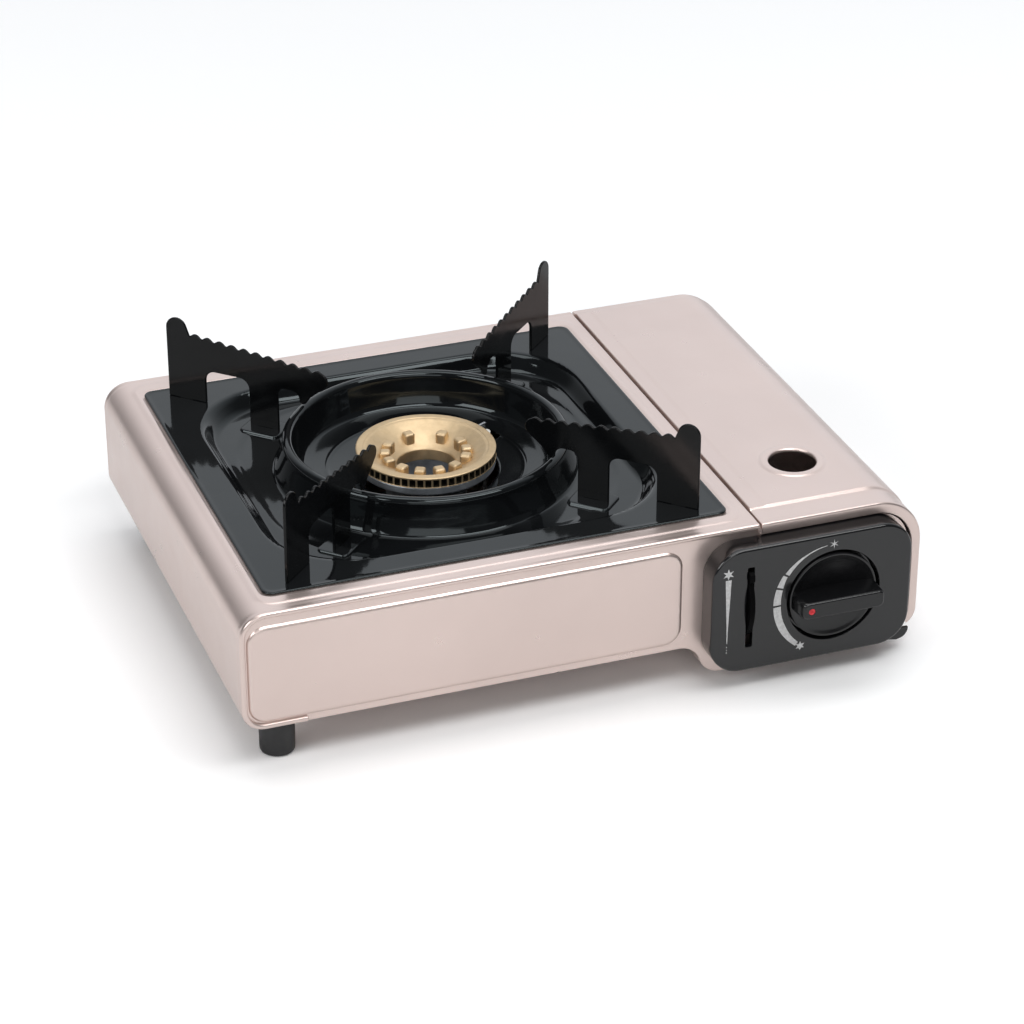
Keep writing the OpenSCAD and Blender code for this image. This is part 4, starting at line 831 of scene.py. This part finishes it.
class STOVE_OT_tray(bpy.types.Operator):
    """Enamelled drip tray with its basin and wind ring"""
    bl_idname = "stove.drip_tray"
    bl_label = "Drip tray"

    def execute(self, context):
        half_x, half_y = 114.5, 109
        edge = [(0.9, 84.15), (0.35, 84.12), (0.05, 84.35), (0, 84.7), (0.18, 85),
                (0.6, 85.18), (1.2, 85.2), (1.9, 85.06), (2.8, 85)]
        loops = [at_height(tray_line(half_x - inset, half_y - inset, 5 - 0.3 * inset), z)
                 for inset, z in edge]
        outer = tray_line(half_x - 4, half_y - 4, 5)
        foot = pulled(tray_line(90, 86, 60), 75.6)
        for t in steps_between(0, 1, 39):
            floor = [(ax + (bx - ax) * t, ay + (by - ay) * t)
                     for (ax, ay), (bx, by) in zip(outer, foot)]
            loops.append([(x, y, tray_height(x, y)) for x, y in floor])
        ring = [(75, 77.12), (74.5, 77.4), (74, 78), (73.3, 79.3), (72.5, 81.5),
                (71.8, 83.8), (71.2, 86), (70.7, 88.4), (70.4, 90.4), (70.3, 91.6)]
        ring += arc(67.6, 92.4, 2.75, 0, 180, 12)
        ring += [(64.4, 90.5), (63, 85), (61.7, 80.6), (60.6, 78.7), (59.3, 77.9), (56, 77.3),
                 (50.5, 76.6), (49.4, 76.65), (48.6, 76.9), (47.8, 76.5), (46.5, 76.1), (41, 75.6),
                 (37, 75.3), (36, 75.1), (35.6, 74.7), (35.5, 74.2)]
        loops += [at_height(pulled(foot, radius), z) for radius, z in ring]
        loops = [[(BURNER[0] + x, BURNER[1] + y, z) for x, y, z in loop] for loop in loops]
        piece = join("Drip_tray", [skin("Drip_tray", loops)] + [self.pad(k) for k in range(4)])
        sheet(piece, lambda m, n: n.z)
        cutters = []
        for angle in (45, 135, 225, 315):
            for low, high in (((129.8, -0.95, 82), (138.2, 0.95, 87)),
                              ((84.8, -0.95, 72), (93.2, 0.95, 81))):
                cutters.append(swung_block("slot", low, high, angle))
        cutters.append(swung_block("notch", (30, -6, 70), (49, 6, 79), 28))
        cut(piece, cutters)
        finish(piece, "tray", "enamel", "tray_enamel", "drip_tray", angle=50)
        return {"FINISHED"}

    def pad(self, number):
        """Raised seat under a pan support's inner foot."""
        centre = (BURNER[0] + 89.6, BURNER[1])
        rows = [at_height(moved(rounded(10.2 + grow, 7.6 + grow, 2.2 + grow, 5), centre), z)
                for grow, z in ((1.3, 76.6), (1, 77), (0.75, 77.6), (0.45, 78.2), (0.2, 78.42),
                                (-0.3, 78.5), (-1.2, 78.5))]
        piece = skin("pad", rows)
        cap(piece, len(rows) - 1)
        swing(piece, 45 + 90 * number)
        return piece


def support_outline():
    """Outline of a pan support: distance from the burner's axis and height."""
    crest, out, notch, pitch, samples = 95.1, 144, 131, 6.87, 12
    line = [(out, 85), (out, 100), (out, 115)]
    line += arc(out - 5.8, 85 + 44 - 5.8, 5.8, 0, 150, 14)
    for k in range(10 * samples + 8):
        s = notch - k * pitch / samples
        wave = abs(math.sin(math.pi * (notch - s) / pitch))
        line.append((s, 120.2 - 0.088 * (notch - s) + 2.2 * math.sqrt(wave * wave + 0.03) - 0.38))
    line += arc(57.9, 110.4, 4.4, 110, 238, 10) + [(59.4, 103.4), (63, 100.6)]
    line += [(66, crest + 1.2), (67.4, crest + 0.6), (68.6, crest + 0.9), (69.3, crest + 1.8)]
    line += arc(69.3 + 4.5, crest + 2.5, 4.5, 180, 90, 8) + arc(77, crest + 2.5, 4.5, 90, 0, 8)
    line += [(81.5, 90), (81.5, 77.6), (85, 77.4), (85, 74.2), (93, 74.2), (93, 77.4),
             (97.7, 77.6), (97.7, 88)]
    line += arc(97.7 + 5.5, 97.5, 5.5, 180, 90, 8) + arc(122.5 - 5.5, 97.5, 5.5, 90, 0, 8)
    line += [(122.5, 90), (122.5, 85), (130, 85), (130, 82.2), (138, 82.2), (138, 85)]
    return line


class STOVE_OT_supports(bpy.types.Operator):
    """Four enamelled pan supports with serrated edges"""
    bl_idname = "stove.pan_supports"
    bl_label = "Pan supports"

    def execute(self, context):
        line = support_outline()
        first = solid("Pan_support", [[(BURNER[0] + s, BURNER[1] + side, z) for s, z in line]
                                      for side in (-0.75, 0.75)])
        bevel(first, 0.45, 3, 50)
        places = {45: "rear_right", 135: "rear_left", 225: "front_left", 315: "front_right"}
        for angle, place in places.items():
            pick(first)
            bpy.ops.object.duplicate()
            blade = bpy.context.object
            blade.name = blade.data.name = "Pan_support_" + place
            swing(blade, angle)
            finish(blade, "tray", "support", "support_enamel", "pan_support_" + place)
        bpy.data.objects.remove(first)
        return {"FINISHED"}


# ---- burner ----

class STOVE_OT_burner(bpy.types.Operator):
    """Brass cap with flame slots and studs, and the cast cup under it"""
    bl_idname = "stove.burner"
    bl_label = "Burner"

    def execute(self, context):
        turns = 224
        dish = [(16, -15.4), (14.9, -15.5), (14.5, -15.2), (14.4, -14.6), (14.4, -9.9),
                (14.6, -9.35), (15.2, -8.85), (18, -7.2), (22, -4.85), (26, -2.5), (28.9, -0.8),
                (29.5, -0.5), (30.1, -0.38), (30.6, -0.34), (31, -0.04), (33.6, 0),
                (34.1, -0.1), (34.4, -0.35), (34.45, -0.7), (34.4, -1.05)]
        under = [(34.4, -4.9), (34.5, -5.1), (34.4, -5.35), (33.9, -5.4), (28, -5.4),
                 (26.5, -4.4), (16, -10.4), (16, -15.4)]
        slots = []
        for rise, depth in ((-1.12, 0), (-1.16, 5), (-4.8, 5), (-4.86, 0)):
            loop = []
            for k in range(turns):
                lean = {1: 0.3, 2: -0.3}.get(k % 4, 0)
                radius = 34.3 - (depth if lean else 0)
                a = 2 * math.pi * (k - lean) / turns
                loop.append((BURNER[0] + radius * math.cos(a), BURNER[1] + radius * math.sin(a),
                             CAP_TOP + rise))
            slots.append(loop)
        above, below = [[at_height(circle(BURNER, radius, turns), CAP_TOP + rise)
                         for radius, rise in rows] for rows in (dish, under)]
        piece = skin("Burner_cap", above + slots + below)
        weld(piece)
        face_out(piece)
        studs = [swung_block("stud", (17.4, -2.7, CAP_TOP - 10.5), (22.8, 2.7, CAP_TOP - 1.9),
                             angle, 1.3)
                 for angle in (48, 97, 138, 164, 188, 216, 243, 270, 296, 327, -10, 14)]
        piece = join("Burner_cap", [piece] + studs)
        finish(piece, "case", "brass", "burner_brass", "burner_cap")
        # The faces inside the flame slots take the near-black brass: painted shade
        piece.data.materials.append(FINISHES["slot_shade"])
        for poly in piece.data.polygons:
            middle = in_mm(poly.center)
            reach = math.hypot(middle.x - BURNER[0], middle.y - BURNER[1])
            if 29.1 < reach < 33.8 and -4.85 < middle.z - CAP_TOP < -1.13:
                poly.material_index = 1
        self.cup()
        return {"FINISHED"}

    def cup(self):
        cup = turned("Burner_head", BURNER, "z", [
            (0.01, 34), (19, 34), (20, 35), (20, CUP_TOP - 12), (32.2, CUP_TOP - 4.8),
            (33.4, CUP_TOP - 4.2), (34, CUP_TOP - 3.6), (34.15, CUP_TOP - 3),
            (34.15, CUP_TOP - 0.35), (33.9, CUP_TOP), (30.5, CUP_TOP), (29.6, CUP_TOP - 0.8),
            (18.2, CUP_TOP - 8.5), (18.2, 39), (0.01, 39)], 120)
        face_out(cup)
        heading = math.atan2(34 - BURNER[1], 278.8 - BURNER[0])
        spout = laid("spout", [(9.2, 16), (10.4, 16), (10.8, 16.4), (10.8, 30), (9.2, 30)], 48,
                     (*BURNER, 46), heading)
        cup = join("Burner_head", [cup, spout])
        finish(cup, "case", "cast", "burner_cast", "burner_head")


# ---- controls ----

class STOVE_OT_panel(bpy.types.Operator):
    """Control panel with its knob well, lever slot and printed marks"""
    bl_idname = "stove.control_panel"
    bl_label = "Control panel"

    def execute(self, context):
        fillet = context.scene.stove_sizes.panel_fillet / MM

        def outline(inset, y):
            half_x, half_z = PANEL_HALF
            points = rounded(half_x - inset, half_z - inset, 16 - inset, 16)
            return at_depth(moved(points, PANEL_MIDDLE), y)

        def slot(inset, y):
            return at_depth(moved(rounded(1.95 - inset, 21.9 - inset, 0.7, 4), SLOT), y)

        loops = [outline(0, 1.25), outline(0, -2), outline(0, FACE_Y + fillet + 0.6)]
        for angle in steps_between(0, 90, 8):
            u, v = polar((0, 0), fillet, angle)
            loops.append(outline(fillet - u, FACE_Y + fillet - v))
        skirt = skin("skirt", loops)
        front = plate("front", [outline(fillet, FACE_Y), at_depth(circle(KNOB, 24.5, 120), FACE_Y),
                                slot(0, FACE_Y)])
        well = turned("well", KNOB, "y", [
            (24.5, FACE_Y), (24.25, FACE_Y + 0.08), (24.06, FACE_Y + 0.3), (24, FACE_Y + 0.7),
            (24, -5.2), (23.6, -4.6), (23, -4.5), (8.2, -4.5), (7.7, -4.2), (7.7, 0.4)], 120)
        slit = skin("slit", [slot(inset, FACE_Y + back) for inset, back in
                             ((0, 0), (0.12, 0.04), (0.2, 0.25), (0.2, 2.6))])
        piece = join("Control_panel", [skirt, front, well, slit])
        weld(piece)
        sheet(piece, lambda m, n: -n.y if m.y < FACE_Y + 0.01 else 0, 0.0014)
        # A black tab at the panel's lower right corner, below the lid's curl, that makes that
        # corner dark
        corner = [(322, 8), (329.4, 6.62)] + arc(330, 12.4, 5.5, -85, 5, 10)
        corner += [(335.2, 12.9), (322, 12.9)]
        corner_tab = solid("corner_tab", [at_depth(corner, y) for y in (-1.7, -0.15)])
        bevel(corner_tab, 0.4, 2, 40)
        piece = join("Control_panel", [piece, corner_tab])
        finish(piece, "case", "plastic", "panel_plastic", "control_panel", angle=40)
        self.marks()
        return {"FINISHED"}

    def marks(self):
        def strip(points):
            return solid("strip", [at_depth(points, FACE_Y + out) for out in (-0.03, 0.05)])

        def star(cx, cz, size, thin):
            return strip([polar((cx, cz), size * (thin if k % 2 else 1), 90 + 30 * k)
                          for k in range(12)])

        def sector(start, end):
            """A piece of the dial between two of (angle, inner radius, outer radius)."""
            steps = max(3, int(abs(end[0] - start[0]) / 3))
            angles, inner, outer = [steps_between(a, b, steps) for a, b in zip(start, end)]
            inside, outside = [[polar(KNOB, radius, angle) for radius, angle in zip(radii, angles)]
                               for radii in (inner, outer)]
            return strip(outside + inside[::-1])

        pieces = [star(234.8, 66.3, 3, 0.42), star(288.9, 72.6, 2.5, 0.24),
                  star(273.4, 19.7, 2.5, 0.5)]
        pieces.append(strip([(233.4, 63.2), (236.4, 63.2), (236, 52), (235.4, 38), (235.2, 28.5),
                             (234.9, 28.5), (234.6, 38), (233.9, 52)]))
        pieces += [strip(circle((235, z), size, 12))
                   for z, size in ((26.6, 0.28), (25, 0.24), (23.6, 0.3))]
        stops = [(99, 27.9, 28.15), (120, 28.1, 28.8), (147.5, 28, 30.4), (149.6, 28.4, 30.9),
                 (162, 27.9, 31.2), (164, 27.8, 31.2), (180.2, 27.4, 31.3), (182.2, 27.4, 31.3),
                 (208, 27.6, 31.2), (232, 28.6, 30.9)]
        pieces += [sector(stops[k], stops[k + 1]) for k in (0, 1, 3, 5, 7, 8)]
        marks = join("Panel_marks", pieces)
        marks.data.materials.clear()
        marks.data.materials.append(FINISHES["ink"])
        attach(marks, "case")


class STOVE_OT_knob(bpy.types.Operator):
    """Knob with its dished disc and grip bar, and the red dot"""
    bl_idname = "stove.knob"
    bl_label = "Knob"

    def execute(self, context):
        disc = turned("Control_knob", KNOB, "y", [
            (4.1, 0.45), (6.6, 0.45), (7, 0.1), (7, -5.3), (21.6, -5.5), (22.3, -5.7),
            (22.7, -6.3), (22.7, -9.7), (22.55, -10.15), (22.2, -10.42), (21.7, -10.5),
            (21.2, -10.4), (20.2, -10), (18.5, -9.5), (15, -9), (10, -8.7), (0.01, -8.6)],
            context.scene.stove_sizes.knob_turn)
        face_out(disc)
        # left end, right end, half width, corner radius and depth of the bar's rows
        rows = ((-22, 21.9, 4.75, 2.6, -8.2), (-21.95, 21.9, 4.72, 2.6, -9.2),
                (-21.8, 21.9, 4.68, 2.6, -12), (-21.5, 21.8, 4.6, 2.6, -15.5),
                (-21.1, 21.7, 4.5, 2.6, -18.6), (-20.8, 21.65, 4.42, 2.6, -20.2),
                (-20.4, 21.5, 4.28, 2.5, -21.1), (-20, 21.2, 4, 2.4, -21.65),
                (-19.5, 20.8, 3.65, 2.2, -21.92), (-18.9, 20.3, 3.3, 2, -22))
        grip = solid("grip", [
            at_depth(moved(rounded((right - left) / 2, half, radius, 5),
                           (KNOB[0] + (left + right) / 2, KNOB[1])), y)
            for left, right, half, radius, y in rows])
        knob = join("Control_knob", [disc, grip])
        dot_centre = (KNOB[0] - 16.3, KNOB[1])
        cut(knob, [hole_cutter(dot_centre, "y", -21.6, -23, 1.75)])
        finish(knob, "knob", "knob", "knob_plastic", "control_knob", angle=30)
        dot = turned("Knob_marker", dot_centre, "y", [
            (0.01, -21.62), (0.42, -21.62), (0.5, -21.68), (0.55, -21.92), (0.75, -22),
            (1.35, -22), (1.62, -21.9), (1.7, -21.6)], 40)
        face_out(dot)
        finish(dot, "knob", "red", "marker_red", "knob_marker")
        return {"FINISHED"}


class STOVE_OT_lever(bpy.types.Operator):
    """Lock lever whose rim shows through the slot"""
    bl_idname = "stove.lock_lever"
    bl_label = "Lock lever"

    def execute(self, context):
        x, y, z = SLOT[0], PIVOT_Y, SLOT[1]
        drive = math.radians(33)
        outline = arc(y, z, 4.4, -60, 90, 10)
        outline += [(y + 7.9 * math.sin(drive) + 2, z + 7.9 * math.cos(drive)),
                    (y + 7.9 * math.sin(drive) - 2.6, z + 7.9 * math.cos(drive) + 0.8)]
        outline += [(y - 3, z + 6.5), (y - 21, z + 18.6), (y - 24.2, z + 19.4),
                    (y - 26, z + 18.2), (y - 26.2, z + 15.2)]
        outline += arc(y, z, 27.5, 152, 213, 13)
        piece = solid("Lock_lever", [[(x + side, v, w) for v, w in outline]
                                     for side in (-1.35, 1.35)])
        bevel(piece, 0.5, 3, 40)
        pin = laid("pin", [(0.01, 0), (1.8, 0), (1.8, 9.9), (1.5, 10.2), (0.01, 10.2)], 32,
                   (x, y + 6 * math.sin(drive), z + 6 * math.cos(drive)))
        hub = laid("hub", [(2.1, -2.7), (4, -2.7), (4.4, -2.3), (4.4, 2.7), (4, 3.1),
                           (2.1, 3.1), (2.1, -2.7)], 40, (x, y, z))
        drill = laid("drill", [(2.1, -9), (2.1, 9)], 40, (x, y, z))
        cap(drill, 0, 1)
        cut(piece, [drill])
        piece = join("Lock_lever", [piece, hub, pin])
        finish(piece, "lever", "coated", "lever_black", "lock_lever")
        return {"FINISHED"}


class STOVE_OT_feet(bpy.types.Operator):
    """Four rubber feet, tall under the burner and low under the cartridge"""
    bl_idname = "stove.feet"
    bl_label = "Feet"

    def execute(self, context):
        for place, x, y, top in FEET:
            tall = top == DECK_Z
            deck = top + (2 if tall else 1)
            profile = [(0.01, 0.5), (4.5, 0.4), (5.2, 0), (7.3, 0), (8, 0.35), (8.3, 1), (8.4, 2.2)]
            profile += [(8.45, 6), (8.5, 12), (8.5, 21.8)] if tall else [(8.5, 4.8)]
            profile += [(8.35, top - 0.6), (7.9, top), (3, top), (3, deck), (4, deck),
                        (4.2, deck + 0.5), (3.4, deck + 2), (0.01, deck + 2)]
            foot = turned("Foot_" + place, (x, y), "z", profile, 56)
            face_out(foot)
            finish(foot, "case", "rubber", "foot_rubber", "foot_" + place)
        return {"FINISHED"}


class STOVE_OT_inner(bpy.types.Operator):
    """Finishes of the inner pieces, whose shapes come from the frame"""
    bl_idname = "stove.inner_pieces"
    bl_label = "Inner pieces"

    def execute(self, context):
        kept = {
            "steel": "bay_partition regulator_bracket cartridge_key cartridge_rest lid_hinge_rod "
                     "cartridge_carriage burner_bracket burner_screws mixing_tube diaphragm_cover "
                     "cover_screws regulator_screws lever_bracket lever_pivot_pin igniter_plunger "
                     "electrode_bracket base_screws panel_screws",
            "cast": "heat_plate regulator_body",
            "turned_brass": "gas_jet valve_spindle",
            "wire": "carriage_spring diaphragm_spring electrode_rod",
            "rubber": "diaphragm inlet_seal",
            "plastic": "igniter_body igniter_cam",
            "sleeve": "ignition_wire",
            "ceramic": "electrode_insulator",
        }
        left = {node for node, part in frame["nodes"].items() if not part.hide_render}
        for finish_name, nodes in kept.items():
            for node in nodes.split():
                slots = frame["nodes"][node].data.materials
                for k in range(len(slots)):
                    slots[k] = FINISHES[finish_name]
                if not len(slots):
                    slots.append(FINISHES[finish_name])
                left.discard(node)
        if left:
            raise RuntimeError("pieces with no finish: " + ", ".join(sorted(left)))
        return {"FINISHED"}


# ---- stage ----

class STOVE_OT_stage(bpy.types.Operator):
    """Pale floor, soft lights and the camera"""
    bl_idname = "stove.stage"
    bl_label = "Stage"

    def execute(self, context):
        self.floor()
        self.world(context.scene)
        for name, place, width, height, power in (
                ("Left_box", (-1.35, -0.5, 0.9), 0.9, 0.7, 9),
                ("Top_box", (0.02, 0.1, 1.5), 1.4, 0.6, 7.5),
                ("Front_box", (0.2, -0.75, 1.3), 1.3, 0.45, 10),
                ("Front_fill", (-0.4, -1.7, 0.8), 1.3, 0.9, 5.5)):
            self.lamp(context.scene, name, Vector(place), width, height, power)
        self.camera(context.scene)
        context.scene.view_settings.view_transform = "Standard"
        return {"FINISHED"}

    def floor(self):
        """A floor that looks paler to the camera, the more so the farther it lies."""
        select_none()
        bpy.ops.mesh.primitive_plane_add(size=12, location=(0, 0, -0.0004))
        floor = bpy.context.object
        floor.name = "Floor"
        material = bpy.data.materials.new("pale_floor")
        material.use_nodes = True
        tree = material.node_tree
        shader = tree.nodes["Principled BSDF"].inputs
        shader["Roughness"].default_value = 0.8
        shader["Specular IOR Level"].default_value = 0.1
        place = add_node(tree, "TexCoord", "Object")
        reach = add_node(tree, "VectorMath", "Value", {0: place}, operation="LENGTH")
        paler = add_node(tree, "MapRange", "Result", {
            "Value": reach, "From Min": 0.25, "From Max": 5, "To Min": 0.24, "To Max": 2.8})
        seen = add_node(tree, "LightPath", "Is Camera Ray")
        lift = add_node(tree, "Math", "Value", {0: seen, 1: paler, 2: 0.78},
                        operation="MULTIPLY_ADD")
        tree.links.new(lift, shader["Base Color"])
        floor.data.materials.append(material)

    def world(self, scene):
        """White to the camera, and for all else a soft light from the rear right."""
        world = scene.world = bpy.data.worlds.new("Studio")
        world.use_nodes = True
        tree = world.node_tree
        tree.nodes.clear()
        around = add_node(tree, "TexCoord", "Generated")
        facing = add_node(tree, "VectorMath", "Value", {0: around, 1: (0.43, 0.8, 0.41)},
                          operation="DOT_PRODUCT")
        backdrop = add_node(tree, "MapRange", "Result", {
            "Value": facing, "From Min": 0.32, "From Max": 1, "To Min": 0.1, "To Max": 0.98},
            interpolation_type="SMOOTHSTEP")
        soft = add_node(tree, "Background", "Background", {
            "Color": (0.93, 0.96, 1, 1), "Strength": backdrop})
        white = add_node(tree, "Background", "Background", {"Color": (1, 1, 1, 1), "Strength": 1})
        seen = add_node(tree, "LightPath", "Is Camera Ray")
        mix = add_node(tree, "MixShader", "Shader", {"Fac": seen, 1: soft, 2: white})
        add_node(tree, "OutputWorld", None, {"Surface": mix})

    def lamp(self, scene, name, place, width, height, power):
        """A box of light that looks at the stove's middle."""
        data = bpy.data.lights.new(name, "AREA")
        data.shape = "RECTANGLE"
        data.size, data.size_y = width, height
        data.energy = power
        lamp = bpy.data.objects.new(name, data)
        lamp.location = place
        aim = Vector((0, 0, 0.05)) - place
        lamp.rotation_euler = aim.to_track_quat("-Z", "Y").to_euler()
        scene.collection.objects.link(lamp)

    def camera(self, scene):
        turn, tilt = math.radians(AZIMUTH), math.radians(ELEVATION)
        right = Vector((math.cos(turn), math.sin(turn), 0))
        ahead = Vector((-math.sin(turn) * math.cos(tilt), math.cos(turn) * math.cos(tilt),
                        -math.sin(tilt)))
        data = bpy.data.cameras.new("Camera")
        data.sensor_width, data.lens = 36, LENS
        data.clip_start, data.clip_end = 0.05, 30
        camera = bpy.data.objects.new("Camera", data)
        scene.collection.objects.link(camera)
        rows = zip(right, right.cross(ahead), -ahead, EYE)
        camera.matrix_world = Matrix([*rows, (0, 0, 0, 1)])
        scene.camera = camera


# ---- panel and registration ----

STEPS = (STOVE_OT_stage, STOVE_OT_case, STOVE_OT_base, STOVE_OT_panels, STOVE_OT_lid,
         STOVE_OT_tray, STOVE_OT_supports, STOVE_OT_burner, STOVE_OT_panel, STOVE_OT_knob,
         STOVE_OT_lever, STOVE_OT_feet, STOVE_OT_inner)


class STOVE_PT_tools(bpy.types.Panel):
    """Buttons for the stove's pieces"""
    bl_idname = "STOVE_PT_tools"
    bl_label = "Stove"
    bl_space_type = "VIEW_3D"
    bl_region_type = "UI"
    bl_category = "Stove"

    def draw(self, context):
        for group in (context.scene.stove_sizes, context.scene.stove_tones):
            for name in group.__annotations__:
                self.layout.prop(group, name)
        for step in STEPS:
            self.layout.operator(step.bl_idname)


CLASSES = (StoveSizes, StoveTones) + STEPS + (STOVE_PT_tools,)


def register():
    for cls in CLASSES:
        bpy.utils.register_class(cls)
    bpy.types.Scene.stove_sizes = bpy.props.PointerProperty(type=StoveSizes)
    bpy.types.Scene.stove_tones = bpy.props.PointerProperty(type=StoveTones)


def unregister():
    del bpy.types.Scene.stove_tones
    del bpy.types.Scene.stove_sizes
    for cls in reversed(CLASSES):
        bpy.utils.unregister_class(cls)


def main():
    register()
    FINISHES.update(make_finishes(bpy.context.scene.stove_tones))
    for step in STEPS:
        group, name = step.bl_idname.split(".")
        getattr(getattr(bpy.ops, group), name)()


if __name__ == "__main__":
    main()
